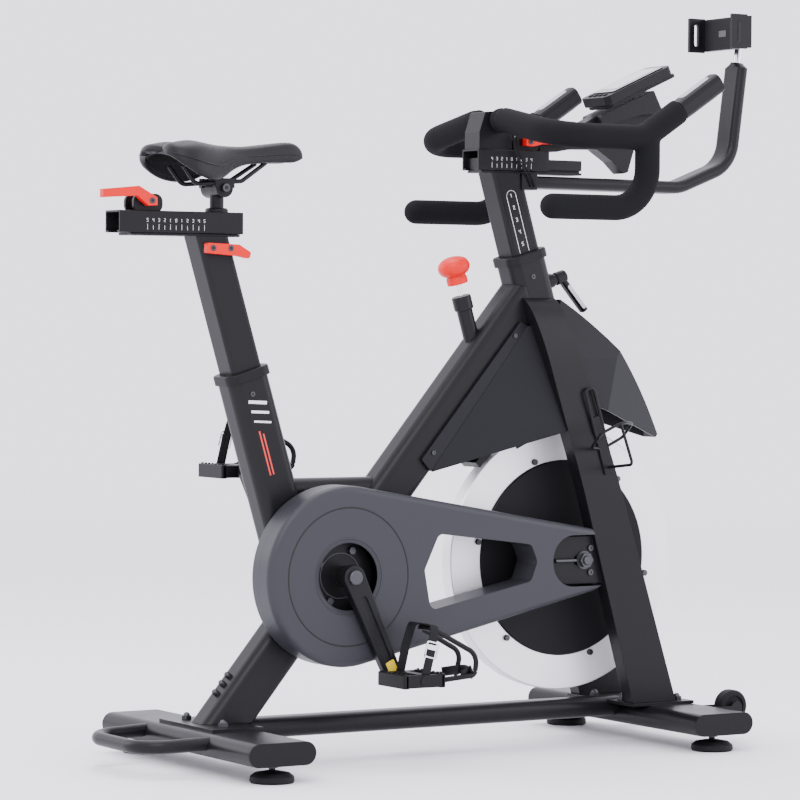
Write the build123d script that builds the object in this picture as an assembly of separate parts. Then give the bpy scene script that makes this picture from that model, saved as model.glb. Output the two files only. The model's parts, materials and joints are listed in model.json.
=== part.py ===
from build123d import *

import os
from math import atan2, cos, degrees, radians, sin, tan

# Indoor cycling bike. Millimetres, +X forward, +Y to the rider's left, +Z up, floor at Z = 0.
# Every X below is measured from the crank axis. save() then moves the whole bike so that
# the origin lies on the floor under its middle.

# ---------------------------------------------------------------- driving dimensions
X_CRANK = -218.0            # crank axis in the exported frame
CRANK_Z = 296.5             # crank axis above the floor
CRANK_LENGTH = 175.0        # crank axis to pedal axis
CRANK_ANGLE = -64.7         # right crank at rest, from +X towards +Z
FLYWHEEL_X = 456.5
FLYWHEEL_Z = 308.5
FLYWHEEL_R = 218.2
RUNNING_FIT = 0.05          # radial clearance of a shaft in its bearing
GAP = 0.3                   # clearance between bodies that slide or turn past each other

# frame tubes
TUBE_DEPTH = 72.0
TUBE_WIDTH = 60.0
TUBE_CORNER = 18.0
TUBE_WALL = 3.0
LEAN = 16.7                 # seat tube and head tube lean back from the vertical
MAIN_SLOPE = 50.3           # main tube above the horizontal
MAIN_FOOT_X = -174.7        # main tube's axis where it meets the base plate
SEAT_TOP_X = -142.0         # seat tube's axis at its top
SEAT_TOP_Z = 606.0
HEAD_TOP_X = 379.6          # head tube's axis at its top
HEAD_TOP_Z = 798.0
HEAD_LENGTH = 233.0
SEAT_LENGTH = 382.0
BRACE_R = 19.0
BRACE_Z = 430.0
SHELL_R = 26.0              # bottom bracket shell
SHELL_HALF = 38.0

# telescopic posts
POST_DEPTH = 54.0
POST_WIDTH = 50.0
POST_CORNER = 7.0
POST_WALL = 2.5
SEAT_POST_BOTTOM_Z = 450.0
BAR_POST_BOTTOM_Z = 700.0
SEAT_RAIL_Z = 828.0         # underside of the seat rail
BAR_RAIL_Z = 941.5          # underside of the handlebar rail
LIP_HEIGHT = 15.0
LIP_OVERHANG = 3.5

# base
STABILISER_DEPTH = 116.0
STABILISER_HEIGHT = 36.0
STABILISER_Z = 27.5         # underside
STABILISER_WALL = 2.5
STABILISER_HALF = 240.0     # without the end caps
END_CAP = 4.5
REAR_X = -204.0
FRONT_X = 622.0
PLATE = 5.0
BEAM_WIDTH = 50.0
BEAM_LOW = 40.0
BEAM_HIGH = 73.0
FOOT_Y = 211.0
FOOT_R = 34.5
STUD_R = 5.0
WHEEL_X = 714.0
WHEEL_Z = 61.0
WHEEL_R = 27.0
WHEEL_Y = 138.0
WHEEL_WIDTH = 24.0

# transmission
BELT_LOW_Y = -56.0
BELT_HIGH_Y = -40.0
BELT_THICK = 3.0
BIG_PITCH_R = 108.0
SMALL_PITCH_R = 27.0
COVER_REAR_R = 143.0
COVER_FRONT_R = 53.0
COVER_OUT_Y = -92.0
COVER_SPLIT_Y = -58.0
COVER_IN_Y = -33.0
COVER_WALL = 2.5
AXLE_R = 8.5                # crank axle
FLY_AXLE_R = 7.5
ARM_IN_Y = 97.0             # inner face of a crank arm
ARM_OUT_Y = 112.0
SPINDLE_R = 6.5
PEDAL_IN_Y = 119.0
PEDAL_OUT_Y = 201.0
PEDAL_DEPTH = 76.0
PEDAL_HEIGHT = 22.0

# seat and handlebar slides
SLIDE_WIDTH = 49.0
SLIDE_HEIGHT = 34.0
SLIDE_WALL = 3.0
SLIDE_SLOT = 30.0
RAIL_WIDTH = 42.0
RAIL_FOOT = 3.7             # flat plate under the slide
SEAT_SLIDE_X0 = -371.0
SEAT_SLIDE_X1 = -156.0
SEAT_RAIL_X0 = -350.0
SEAT_RAIL_X1 = -160.0
BAR_SLIDE_X0 = 280.0
BAR_SLIDE_X1 = 418.0
BAR_RAIL_X0 = 288.0
BAR_RAIL_X1 = 485.0
SADDLE_AXIS_X = -190.0
SADDLE_AXIS_Z = 904.0

# handlebar
BAR_CORE_R = 12.5
BAR_FOAM_R = 20.5
BAR_Y = 205.0
BAR_STEM_X = 318.0
BAR_STEM_Z = 1026.0
BAR_SIDE_Z = 996.0
DROP_X = 487.0
GRIP_Z = 882.5
GRIP_END_X = 303.0
HORN_RISE = 33.0
HORN_KNEE_X = 478.0
HORN_LENGTH = 172.0
SLEEVE_LENGTH = 88.0

# knob and brake
KNOB_BASE_X = 281.4
KNOB_BASE_Z = 679.6
ROD_R = 4.0
PAD_CLEARANCE = 6.0
CALIPER_PIVOT_X = 394.7
CALIPER_PIVOT_Z = 560.0

# phone holder
ARM_THICK = 21.0
ARM_WIDTH = 50.0
ARM_Z = 928.5
CLAMP_HINGE_X = 823.5
CLAMP_HINGE_Z = 1191.0


# ---------------------------------------------------------------- helpers
def save(name, shape):
    """Write one node, moved to the exported frame."""
    export_step(Pos(X_CRANK, 0, 0) * shape, f"parts/{name}.step")


def group(solids):
    """Several separate solids in one node."""
    return Compound(children=list(solids))


def block(x0, x1, y0, y1, z0, z1):
    centre = Pos((x0 + x1) / 2, (y0 + y1) / 2, (z0 + z1) / 2)
    return centre * Box(x1 - x0, y1 - y0, z1 - z0)


def rod_x(y, z, radius, x0, x1):
    return Pos((x0 + x1) / 2, y, z) * Rot(0, 90, 0) * Cylinder(radius, x1 - x0)


def rod_y(x, z, radius, y0, y1):
    return Pos(x, (y0 + y1) / 2, z) * Rot(90, 0, 0) * Cylinder(radius, y1 - y0)


def rod_z(x, y, radius, z0, z1):
    return Pos(x, y, (z0 + z1) / 2) * Cylinder(radius, z1 - z0)


def ring_y(x, z, outer, inner, y0, y1):
    return rod_y(x, z, outer, y0, y1) - rod_y(x, z, inner, y0 - 1, y1 + 1)


def side_prism(outline, y0, y1):
    """Extrude an outline drawn in X and Z from y0 to y1."""
    return extrude(Plane.XZ.offset(-y1) * outline, amount=y1 - y0)


def polygon(points, radius=0.0):
    """A closed outline with every corner rounded alike."""
    face = make_face(Polyline(*points, close=True))
    if radius:
        face = fillet(face.vertices(), radius)
    return face


def teardrop(rear_r, front_r):
    """Outline of a belt, or of its cover, around the crank and the flywheel axle."""
    rear = Pos(0, CRANK_Z) * Circle(rear_r)
    front = Pos(FLYWHEEL_X, FLYWHEEL_Z) * Circle(front_r)
    return make_hull(rear.edges() + front.edges())


def bent_tube(points, radii, radius):
    """A round bar along straight runs joined by tangent arcs."""
    path = FilletPolyline(*points, radius=radii)
    section = Plane(origin=path @ 0, z_dir=path % 0) * Circle(radius)
    return sweep(section, path=path)


def mirror_y(shape):
    return mirror(shape, about=Plane.XZ)


def on_both_sides(shape):
    return [shape, mirror_y(shape)]


def leaning(x, z, lean=LEAN):
    """A place whose local Z leans back from the vertical."""
    return Pos(x, 0, z) * Rot(0, -lean, 0)


def rounded_bar(depth, width, corner, low, high):
    """A bar along local Z, depth along local X."""
    return Pos(0, 0, low) * extrude(RectangleRounded(depth, width, corner), amount=high - low)


def hexagon_z(x, y, across, z0, z1, bore=0.0):
    nut = Pos(x, y, z0) * extrude(RegularPolygon(across / 2, 6, major_radius=False), amount=z1 - z0)
    if bore:
        nut -= rod_z(x, y, bore, z0 - 1, z1 + 1)
    return nut


def hexagon_y(x, z, across, y0, y1, bore=0.0):
    nut = side_prism(Pos(x, z) * RegularPolygon(across / 2, 6, major_radius=False), y0, y1)
    if bore:
        nut -= rod_y(x, z, bore, y0 - 1, y1 + 1)
    return nut


# ---------------------------------------------------------------- places
SEAT = leaning(SEAT_TOP_X, SEAT_TOP_Z)
HEAD = leaning(HEAD_TOP_X, HEAD_TOP_Z)
KNOB = leaning(KNOB_BASE_X, KNOB_BASE_Z)
PLATE_TOP = STABILISER_Z + STABILISER_HEIGHT + PLATE
MAIN = Pos(MAIN_FOOT_X, 0, PLATE_TOP) * Rot(0, 90 - MAIN_SLOPE, 0)
MAIN_LENGTH = (
    (HEAD_TOP_X - MAIN_FOOT_X) * cos(radians(LEAN)) + (HEAD_TOP_Z - PLATE_TOP) * sin(radians(LEAN))
) / cos(radians(MAIN_SLOPE - LEAN))
LEAN_COS = cos(radians(LEAN))
LEAN_TAN = tan(radians(LEAN))


def seat_axis_x(z):
    return SEAT_TOP_X - (z - SEAT_TOP_Z) * LEAN_TAN


def head_axis_x(z):
    return HEAD_TOP_X - (z - HEAD_TOP_Z) * LEAN_TAN


# ---------------------------------------------------------------- frame
def tube_bar(low, high, inset=0.0):
    """Frame tube section, drawn in by inset all round."""
    return rounded_bar(
        TUBE_DEPTH - 2 * inset, TUBE_WIDTH - 2 * inset, TUBE_CORNER - inset, low, high
    )


MAIN_BAR = MAIN * tube_bar(-40, MAIN_LENGTH)
HEAD_BAR = HEAD * tube_bar(-HEAD_LENGTH, 0)
SEAT_BAR = SEAT * tube_bar(-SEAT_LENGTH, 0)
SHELL_BAR = rod_y(0, CRANK_Z, SHELL_R, -SHELL_HALF, SHELL_HALF)
FLOOR_CUT = block(-400, 900, -150, 150, -60, PLATE_TOP)


def stadium(inset=0.0):
    return SlotOverall(STABILISER_DEPTH - 2 * inset, STABILISER_HEIGHT - 2 * inset)


def stabiliser_bar(x, half, inset=0.0):
    middle_z = STABILISER_Z + STABILISER_HEIGHT / 2
    return side_prism(Pos(x, middle_z) * stadium(inset), -half, half)


def beam_bar(inset=0.0):
    middle_z = (BEAM_LOW + BEAM_HIGH) / 2
    height = BEAM_HIGH - BEAM_LOW - 2 * inset
    section = RectangleRounded(BEAM_WIDTH - 2 * inset, height, height / 2 - 0.5)
    start = REAR_X + STABILISER_DEPTH / 2 - 3
    length = FRONT_X - STABILISER_DEPTH / 2 + 8 - start
    return extrude(Plane.YZ.offset(start) * Pos(0, middle_z) * section, amount=length)


def knob_housing():
    """Threaded tube and cap that guide the brake rod, welded on the main tube."""
    tube = KNOB * rod_z(0, 0, 13, -30, 42)
    cap = KNOB * rod_z(0, 0, 16, 40, 63)
    cap = fillet(cap.edges().group_by(SortBy.LENGTH)[-1], 2)
    return tube + cap


def main_tube():
    """Main tube with the bottom bracket shell and the knob housing welded on."""
    tube = MAIN_BAR - MAIN * tube_bar(-60, MAIN_LENGTH + 1, TUBE_WALL)
    tube = tube + (knob_housing() - MAIN_BAR) + SHELL_BAR
    tube -= HEAD_BAR + FLOOR_CUT + beam_bar()
    tube -= rod_y(0, CRANK_Z, SHELL_R - 5, -60, 60)
    tube -= KNOB * rod_z(0, 0, ROD_R + RUNNING_FIT, -200, 100)
    return tube


def seat_tube():
    """Seat tube and the short brace that joins it to the main tube."""
    brace = rod_x(0, BRACE_Z, BRACE_R, seat_axis_x(BRACE_Z), 110)
    brace -= rod_x(0, BRACE_Z, BRACE_R - TUBE_WALL, seat_axis_x(BRACE_Z) - 1, 111)
    tube = SEAT_BAR + brace - MAIN_BAR
    tube -= SEAT * tube_bar(-SEAT_LENGTH - 1, 1, TUBE_WALL)
    tube -= SHELL_BAR
    return tube


CLAMP_DOWN = 47.0           # clamp lever's axis below the head tube's top, along the tube
CLAMP_BOSS = 14.0
CLAMP_SCREW_R = 5.0


def clamp_axis(radius, start, end):
    """A rod across the head tube, along the clamp lever's screw."""
    return HEAD * rod_x(0, -CLAMP_DOWN, radius, start, end)


def head_tube():
    """Head tube with the clamp lever's boss and the two ears of the brake caliper."""
    front = TUBE_DEPTH / 2
    tube = HEAD_BAR + clamp_axis(12, front - 8, front + CLAMP_BOSS)
    tube -= HEAD * tube_bar(-HEAD_LENGTH - 1, 1, TUBE_WALL)
    tube -= clamp_axis(CLAMP_SCREW_R + RUNNING_FIT, 0, 100)
    for y in (-29.0, 25.0):
        ear = polygon(
            [(408, 590), (398, 596), (CALIPER_PIVOT_X - 9, CALIPER_PIVOT_Z + 4),
             (CALIPER_PIVOT_X - 6, CALIPER_PIVOT_Z - 9), (CALIPER_PIVOT_X + 8, CALIPER_PIVOT_Z - 8),
             (424, 566), (430, 580)]
        )
        plate = side_prism(ear, y, y + 4) - HEAD * tube_bar(-HEAD_LENGTH, 0, TUBE_WALL)
        tube += plate
    tube -= rod_y(CALIPER_PIVOT_X, CALIPER_PIVOT_Z, 4 + RUNNING_FIT, -60, 60)
    return tube


def leg_shape(inset=0.0, top_z=745.0):
    """Right leg as a solid: a straight taper seen from the side, bent inwards at the top."""
    low = PLATE_TOP - (1 if inset else 0)
    silhouette = polygon([
        (549 + inset * 1.05, low), (636 - inset * 1.05, low), (425.7 - inset * 1.05, 738),
        (361 + inset * 1.05, 746),
    ])
    outside = [
        Line((-91 + inset, low), (-87 + inset, 400)),
        Spline((-87 + inset, 400), (-73 + inset, 590), (-60 + inset, 690 - inset), (-30 - inset, 738 - inset),
               tangents=((4, 331), (60, 22))),
    ]
    inside = [
        Spline((-30 - inset, 738 - inset), (-43 - inset, 590), (-60 - inset, 400),
               tangents=((-8, -148), (-4, -331))),
        Line((-60 - inset, 400), (-64 - inset, low)),
    ]
    front_view = make_face([*outside, *inside, Line((-64 - inset, low), (-91 + inset, low))])
    splay = extrude(Plane.YZ.offset(340) * front_view, amount=320)
    leg = side_prism(silhouette, -120, 0) & splay
    return leg & block(300, 700, -120, 0, 0, top_z)


def fork_leg(side):
    """One hollow leg from the head tube to the front base plate, splayed outwards."""
    leg = leg_shape() - leg_shape(TUBE_WALL, 640) + (dropout() - leg_shape(TUBE_WALL, 640))
    leg -= MAIN_BAR + HEAD_BAR
    return leg if side < 0 else mirror_y(leg)


def dropout():
    """Slotted plate on the leg that holds one end of the flywheel axle."""
    outline = Pos(455, FLYWHEEL_Z) * RectangleRounded(130, 78, 37)
    outline += Pos(485, FLYWHEEL_Z) * Rectangle(70, 78)
    plate = side_prism(outline, -78, -72)
    slot = Pos(FLYWHEEL_X - 6, FLYWHEEL_Z) * SlotOverall(2 * FLY_AXLE_R + 14, 2 * FLY_AXLE_R + 0.1)
    return plate - side_prism(slot, -80, -70)


def base_beam():
    beam = beam_bar() - beam_bar(TUBE_WALL)
    return beam - stabiliser_bar(REAR_X, 250) - stabiliser_bar(FRONT_X, 250) - base_plates()


def base_plates():
    """Flat plates that the main tube and the legs stand on."""
    low = STABILISER_Z + STABILISER_HEIGHT
    rear = block(-240, -150, -88, 88, low, PLATE_TOP)
    front = block(546, 668, -98, 98, low, PLATE_TOP)
    return rear + front


def stabiliser(x):
    """Cross member: a full-round tube with a plate on top and holes for the foot studs."""
    bar = stabiliser_bar(x, STABILISER_HALF) - stabiliser_bar(x, STABILISER_HALF + 1, STABILISER_WALL)
    for y in (-FOOT_Y, FOOT_Y):
        bar += rod_z(x, y, 10, STABILISER_Z + 1, STABILISER_Z + 12)
        bar -= rod_z(x, y, STUD_R + 0.1, 0, STABILISER_Z + 15)
    return bar


def rear_stabiliser():
    low = STABILISER_Z + STABILISER_HEIGHT
    return stabiliser(REAR_X) + block(-240, -150, -88, 88, low, PLATE_TOP)


def front_stabiliser():
    """Front cross member with the transport wheels' brackets welded to its front edge."""
    low = STABILISER_Z + STABILISER_HEIGHT
    bar = stabiliser(FRONT_X) + block(546, 668, -98, 98, low, PLATE_TOP)
    edge = FRONT_X + STABILISER_DEPTH / 2
    for middle in (-WHEEL_Y, WHEEL_Y):
        for sign in (-1, 1):
            y = middle + sign * (WHEEL_WIDTH / 2 + 4)
            ear = Pos((edge + WHEEL_X) / 2 - 6, 49) * RectangleRounded(WHEEL_X - edge + 26, 27, 9)
            ear += Pos(WHEEL_X, WHEEL_Z - 2) * Circle(11)
            plate = side_prism(ear, y - 2.5, y + 2.5) - stabiliser_bar(FRONT_X, 250, STABILISER_WALL)
            bar += plate
        bar += rod_y(WHEEL_X, WHEEL_Z, 4, middle - 18.5, middle + 18.5)
    return bar


def rear_handle():
    """Lifting handle: a bent tube welded to the rear cross member."""
    points = [(-255, 104, 50), (-362, 92, 47), (-362, -92, 47), (-255, -104, 50)]
    handle = bent_tube(points, [52, 52], 10.5)
    return handle - stabiliser_bar(REAR_X, 250)


def plastic_caps():
    """End caps of the cross members and the guide collars of both posts."""
    caps = []
    for x in (REAR_X, FRONT_X):
        plug = stabiliser_bar(x, STABILISER_HALF, STABILISER_WALL + 0.1)
        plug -= stabiliser_bar(x, STABILISER_HALF - 15)
        lid = stabiliser_bar(x, STABILISER_HALF + END_CAP) - stabiliser_bar(x, STABILISER_HALF)
        whole = lid + plug
        caps += list(whole.solids())
    for place in (SEAT, HEAD):
        lip = rounded_bar(
            TUBE_DEPTH + 2 * LIP_OVERHANG, TUBE_WIDTH + 2 * LIP_OVERHANG, TUBE_CORNER, 0, LIP_HEIGHT
        )
        lip = fillet(lip.edges().group_by(Axis.Z)[-1], 3)
        sleeve = tube_bar(-90, 0, TUBE_WALL + 0.1)
        hole = rounded_bar(
            POST_DEPTH + 2 * GAP, POST_WIDTH + 2 * GAP, POST_CORNER, -100, LIP_HEIGHT + 1
        )
        collar = place * (lip + sleeve - hole)
        if place is HEAD:
            collar -= clamp_axis(CLAMP_SCREW_R + RUNNING_FIT, 0, 100)
        caps.append(collar)
    return group(caps)


def screw_y(x, z, y, radius=4.0, thick=2.5):
    """A small screw head lying on a face at y that looks towards -Y."""
    head = rod_y(x, z, radius, y - thick, y)
    return head - hexagon_y(x, z, radius * 0.9, y - thick - 1, y - thick / 2)


def foot_lock_nuts():
    nuts = []
    for x in (REAR_X, FRONT_X):
        for y in (-FOOT_Y, FOOT_Y):
            nuts.append(hexagon_z(x, y, 17, STABILISER_Z - 5, STABILISER_Z, STUD_R + 0.1))
    return nuts


def plate_bolts():
    """Domed nuts that hold the base plates to the cross members."""
    bolts = []
    for x, y in ((-206, 60), (-206, -60), (650, -74), (650, 74), (562, -40), (562, 40)):
        nut = hexagon_z(x, y, 15, PLATE_TOP, PLATE_TOP + 6)
        bolts.append(nut + Pos(x, y, PLATE_TOP + 6) * Sphere(5.5))
    return bolts


def axle_hardware():
    """Nuts, washers and chain-tension screws of the flywheel axle, on both dropouts."""
    pieces = []
    washer = ring_y(FLYWHEEL_X, FLYWHEEL_Z, 15, FLY_AXLE_R + 0.1, -80, -78)
    nut = hexagon_y(FLYWHEEL_X, FLYWHEEL_Z, 22, -88, -80, FLY_AXLE_R + 0.1)
    tension = rod_x(-75 - 7, FLYWHEEL_Z, 3, 398, 438)
    screw_up = screw_y(469, 328, -78, 5, 3)
    screw_down = screw_y(469, 288, -78, 5, 3)
    for piece in (washer, nut, tension, screw_up, screw_down):
        pieces += on_both_sides(piece)
    return pieces


def frame_fasteners():
    """Every fixed bolt, nut and screw of the frame, each a separate solid."""
    pieces = foot_lock_nuts() + plate_bolts() + axle_hardware()
    for along in (28, 46, 62):
        bolt = rod_z(0, 0, 5, 0, 5) + Pos(0, 0, 5) * Sphere(4.9)
        bolt -= rod_z(0, 0, 9, -9, 0)
        pieces.append(MAIN * Pos(-TUBE_DEPTH / 2, 0, along) * Rot(0, -90, 0) * bolt)
    for x, z in FLANGE_SCREWS:
        pieces += on_both_sides(screw_y(x, z, -PANEL_OUT_Y, 3.5, 2))
    return group(pieces)


# ---------------------------------------------------------------- covers
WINDOW = [(152, 238), (140, 303), (167, 360), (344, 338), (356, 310), (344, 278)]
PANEL_OUT_Y = 36.0
FLANGE_SCREWS = [(346, 676), (190, 487)]
PANEL_REACH_Y = 74.0        # how far out the panel is where it meets the leg


def window(inset=0.0):
    """The see-through window between the two runs of the belt."""
    face = polygon(WINDOW, 12)
    return offset(face, amount=-inset) if inset else face


def cover_shell(y_face, y_open, round_over):
    """One half of the belt cover: a plate with a rim and a tunnel around the window."""
    low, high = min(y_face, y_open), max(y_face, y_open)
    outside = side_prism(teardrop(COVER_REAR_R, COVER_FRONT_R), low, high)
    cavity = teardrop(COVER_REAR_R - COVER_WALL, COVER_FRONT_R - COVER_WALL)
    if y_face < y_open:
        inside = side_prism(cavity, low + COVER_WALL, high + 1)
        outside = fillet(outside.faces().sort_by(Axis.Y)[0].edges(), round_over)
        inside = fillet(inside.faces().sort_by(Axis.Y)[0].edges(), round_over - COVER_WALL)
    else:
        inside = side_prism(cavity, low - 1, high - COVER_WALL)
        outside = fillet(outside.faces().sort_by(Axis.Y)[-1].edges(), round_over)
        inside = fillet(inside.faces().sort_by(Axis.Y)[-1].edges(), round_over - COVER_WALL)
    shell = outside - inside
    shell += side_prism(offset(window(), amount=COVER_WALL), low, high)
    return shell - side_prism(window(), low - 1, high + 1)


def leg_side(reach):
    """Everything ahead of the leg's rear edge, shifted back by reach."""
    return polygon([(549 - reach, PLATE_TOP), (900, PLATE_TOP), (900, 560), (420 - reach, 560)])


def belt_cover_outer():
    shell = cover_shell(COVER_OUT_Y, COVER_SPLIT_Y, 11)
    shell -= rod_y(0, CRANK_Z, 53, COVER_OUT_Y - 1, COVER_SPLIT_Y)
    seat = (Align.CENTER, Align.CENTER, Align.MIN)
    bevel = Pos(0, COVER_OUT_Y, CRANK_Z) * Rot(-90, 0, 0) * Cone(60, 53, 2.4, align=seat)
    shell -= bevel
    shell -= side_prism(leg_side(5), COVER_OUT_Y - 1, COVER_SPLIT_Y + 1)
    recess = Pos(455, FLYWHEEL_Z) * RectangleRounded(136, 84, 40)
    recess += Pos(490, FLYWHEEL_Z) * Rectangle(80, 84)
    return shell - side_prism(recess, COVER_OUT_Y - 1, COVER_SPLIT_Y + 1)


def belt_cover_inner():
    shell = cover_shell(COVER_IN_Y, COVER_SPLIT_Y + 0.1, 5)
    shell -= rod_y(0, CRANK_Z, SHELL_R + 1, COVER_SPLIT_Y, -20)
    return shell - rod_y(FLYWHEEL_X, FLYWHEEL_Z, 38, COVER_SPLIT_Y, -20)


def side_cover(side):
    """Triangular panel from the main tube out to the leg, with a flange on the main tube."""
    flange = polygon([(357, 699), (375, 690), (197, 467), (186, 456), (168, 476)], 3)
    strip = side_prism(flange, -PANEL_OUT_Y, -TUBE_WIDTH / 2)
    fold_top = Vector(372, -PANEL_OUT_Y, 691)
    fold_low = Vector(196, -PANEL_OUT_Y, 468)
    corner = Vector(432, -PANEL_REACH_Y, 523)
    facing = (fold_low - fold_top).cross(corner - fold_top).normalized()
    tilted = Plane(origin=fold_top, z_dir=facing) * Box(700, 700, 2.5)
    outline = polygon([(371, 692), (392, 692), (436, 560), (436, 523), (187, 456), (195, 468)])
    panel = side_prism(outline, -95, -20) & tilted
    cover = strip + panel - MAIN_BAR - leg_shape() - HEAD_BAR
    return cover if side < 0 else mirror_y(cover)


def shroud_shape(crest, tip, heel, root, half_widths, plan):
    """Solid wedge whose sides flare out towards the bottom and then run in to the tip."""
    edge = [Spline(*crest), Polyline(crest[-1], tip, heel, root, crest[0])]
    wedge = side_prism(make_face(edge), -100, 100)
    front = [(-w, z) for w, z in half_widths] + [(w, z) for w, z in reversed(half_widths)]
    above = [(x, -w) for x, w in plan] + [(x, w) for x, w in reversed(plan)]
    wedge &= extrude(Plane.YZ.offset(380) * polygon(front), amount=300)
    return wedge & extrude(Plane.XY.offset(400) * polygon(above), amount=400)


def front_shroud():
    """Sweat guard in front of the head tube, over the flywheel."""
    wall = 3.5
    widths = [(34, 745), (44, 716), (66, 640), (76, 556), (80, 480)]
    plan = [(400, 64), (445, 64), (495, 80), (648, 16)]
    body = shroud_shape(
        [(434, 736), (562, 626), (648, 511)], (642, 506), (484, 560), (428, 716), widths, plan
    )
    inner_widths = [(w - wall, z) for w, z in widths]
    inner_plan = [(400, 64 - wall), (445, 64 - wall), (495, 80 - wall), (646, 16 - wall)]
    body -= shroud_shape(
        [(430, 732), (558, 621), (641, 507)], (634, 470), (470, 530), (424, 700), inner_widths, inner_plan
    )
    body -= HEAD_BAR + MAIN_BAR + leg_shape() + mirror_y(leg_shape())
    return body.solids().sort_by(SortBy.VOLUME)[-1]


# ---------------------------------------------------------------- transmission
def drive_belt():
    half = BELT_THICK / 2
    outline = teardrop(BIG_PITCH_R + half, SMALL_PITCH_R + half)
    outline -= teardrop(BIG_PITCH_R - half, SMALL_PITCH_R - half)
    return side_prism(outline, BELT_LOW_Y, BELT_HIGH_Y)


def crank_pulley():
    """Spoked belt pulley on the crank axle."""
    rim_r = BIG_PITCH_R - BELT_THICK / 2 - GAP
    rim = ring_y(0, CRANK_Z, rim_r, rim_r - 7, BELT_LOW_Y, BELT_HIGH_Y)
    web = rod_y(0, CRANK_Z, rim_r - 6, -50, -45)
    hub = rod_y(0, CRANK_Z, 58, -64, -44)
    pulley = rim + web + hub
    for turn in range(6):
        angle = radians(60 * turn + 30)
        pulley -= rod_y(79 * cos(angle), CRANK_Z + 79 * sin(angle), 13, -70, -30)
    return pulley - rod_y(0, CRANK_Z, AXLE_R + RUNNING_FIT, -90, -20)


def crank_axle():
    return rod_y(0, CRANK_Z, AXLE_R, -ARM_OUT_Y + 2, ARM_OUT_Y - 2)


def crank_bearings():
    """Two cartridge bearings in the bottom bracket shell."""
    bearing = ring_y(0, CRANK_Z, SHELL_R - 5, AXLE_R + RUNNING_FIT, -SHELL_HALF, -SHELL_HALF + 14)
    return group(on_both_sides(bearing))


def crank_arm(side):
    """Tapered arm, drawn pointing along +X and then turned to its rest angle."""
    outline = make_hull(
        Circle(19).edges() + (Pos(CRANK_LENGTH, 0) * Circle(14)).edges()
    )
    arm = side_prism(outline, -ARM_OUT_Y, -ARM_IN_Y)
    arm = fillet(arm.edges().group_by(Axis.Y)[0], 3)
    groove = Pos(CRANK_LENGTH / 2 + 4, 0) * SlotOverall(116, 11)
    arm -= side_prism(groove, -ARM_OUT_Y - 1, -ARM_OUT_Y + 3)
    arm += rod_y(0, 0, 17, -ARM_IN_Y - 1, -ARM_IN_Y + 20)
    arm -= rod_y(0, 0, AXLE_R + RUNNING_FIT, -ARM_OUT_Y - 1, 0)
    arm -= rod_y(CRANK_LENGTH, 0, SPINDLE_R + RUNNING_FIT, -ARM_OUT_Y - 1, 0)
    angle = CRANK_ANGLE if side < 0 else CRANK_ANGLE + 180
    placed = Pos(0, 0, CRANK_Z) * Rot(0, -angle, 0) * (arm if side < 0 else mirror_y(arm))
    return placed


def pedal_axis(side):
    angle = radians(CRANK_ANGLE if side < 0 else CRANK_ANGLE + 180)
    return CRANK_LENGTH * cos(angle), CRANK_Z + CRANK_LENGTH * sin(angle)


def crank_fittings():
    """Dust caps, pulley bolts and the two pedal spindles, each a separate solid."""
    pieces = []
    cap = rod_y(0, CRANK_Z, 12, -ARM_OUT_Y - 5, -ARM_OUT_Y)
    pieces += on_both_sides(fillet(cap.edges().group_by(Axis.Y)[0], 3))
    for turn in range(4):
        angle = radians(63 + 90 * turn)
        pieces.append(hexagon_y(44 * cos(angle), CRANK_Z + 44 * sin(angle), 11, -70, -64))
    for side in (-1, 1):
        x, z = pedal_axis(side)
        spindle = rod_y(x, z, SPINDLE_R, -PEDAL_OUT_Y + 4, -ARM_IN_Y)
        spindle += rod_y(x, z, 9, -ARM_OUT_Y - 4, -ARM_OUT_Y)
        pieces.append(spindle if side < 0 else mirror_y(spindle))
    return group(pieces)


def pedal(side):
    """Pedal platform with its toe cage and strap, level at rest."""
    x, z = pedal_axis(side)
    half = PEDAL_DEPTH / 2
    body = Pos(x, -(PEDAL_IN_Y + PEDAL_OUT_Y) / 2, z) * Box(
        PEDAL_DEPTH, PEDAL_OUT_Y - PEDAL_IN_Y, PEDAL_HEIGHT
    )
    for middle in (x - 23, x + 23):
        body -= block(middle - 9, middle + 9, -PEDAL_OUT_Y + 10, -PEDAL_IN_Y - 10, z - 30, z + 30)
    body -= rod_y(x, z, SPINDLE_R + RUNNING_FIT, -PEDAL_OUT_Y + 3, 0)
    inner, outer = -PEDAL_IN_Y - 8, -PEDAL_OUT_Y + 8
    front = x + half
    hoop = [
        (front, inner, z), (front + 62, inner - 6, z + 4), (front + 68, inner - 9, z + 36),
        (x + 24, inner - 12, z + 80), (x + 24, outer + 12, z + 80), (front + 68, outer + 9, z + 36),
        (front + 62, outer + 6, z + 4), (front, outer, z),
    ]
    cage = bent_tube(hoop, [10, 22, 12, 12, 22, 10], 3.5)
    cage += rod_y(front + 65, z + 20, 3, outer + 7, inner - 7)
    leaning_strap = Pos(x, 0, z) * Rot(0, 14, 0)
    strap = block(-8, 8, -PEDAL_OUT_Y + 4, -PEDAL_IN_Y - 4, 8, 90)
    strap -= block(-9, 9, -PEDAL_OUT_Y + 6.5, -PEDAL_IN_Y - 6.5, 0, 87.5)
    strap = leaning_strap * strap
    body -= strap
    buckle = leaning_strap * block(-11, 11, -PEDAL_OUT_Y, -PEDAL_OUT_Y + 4, 38, 62)
    pieces = [body, cage, strap, buckle]
    return group(pieces if side < 0 else [mirror_y(piece) for piece in pieces])


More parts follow.
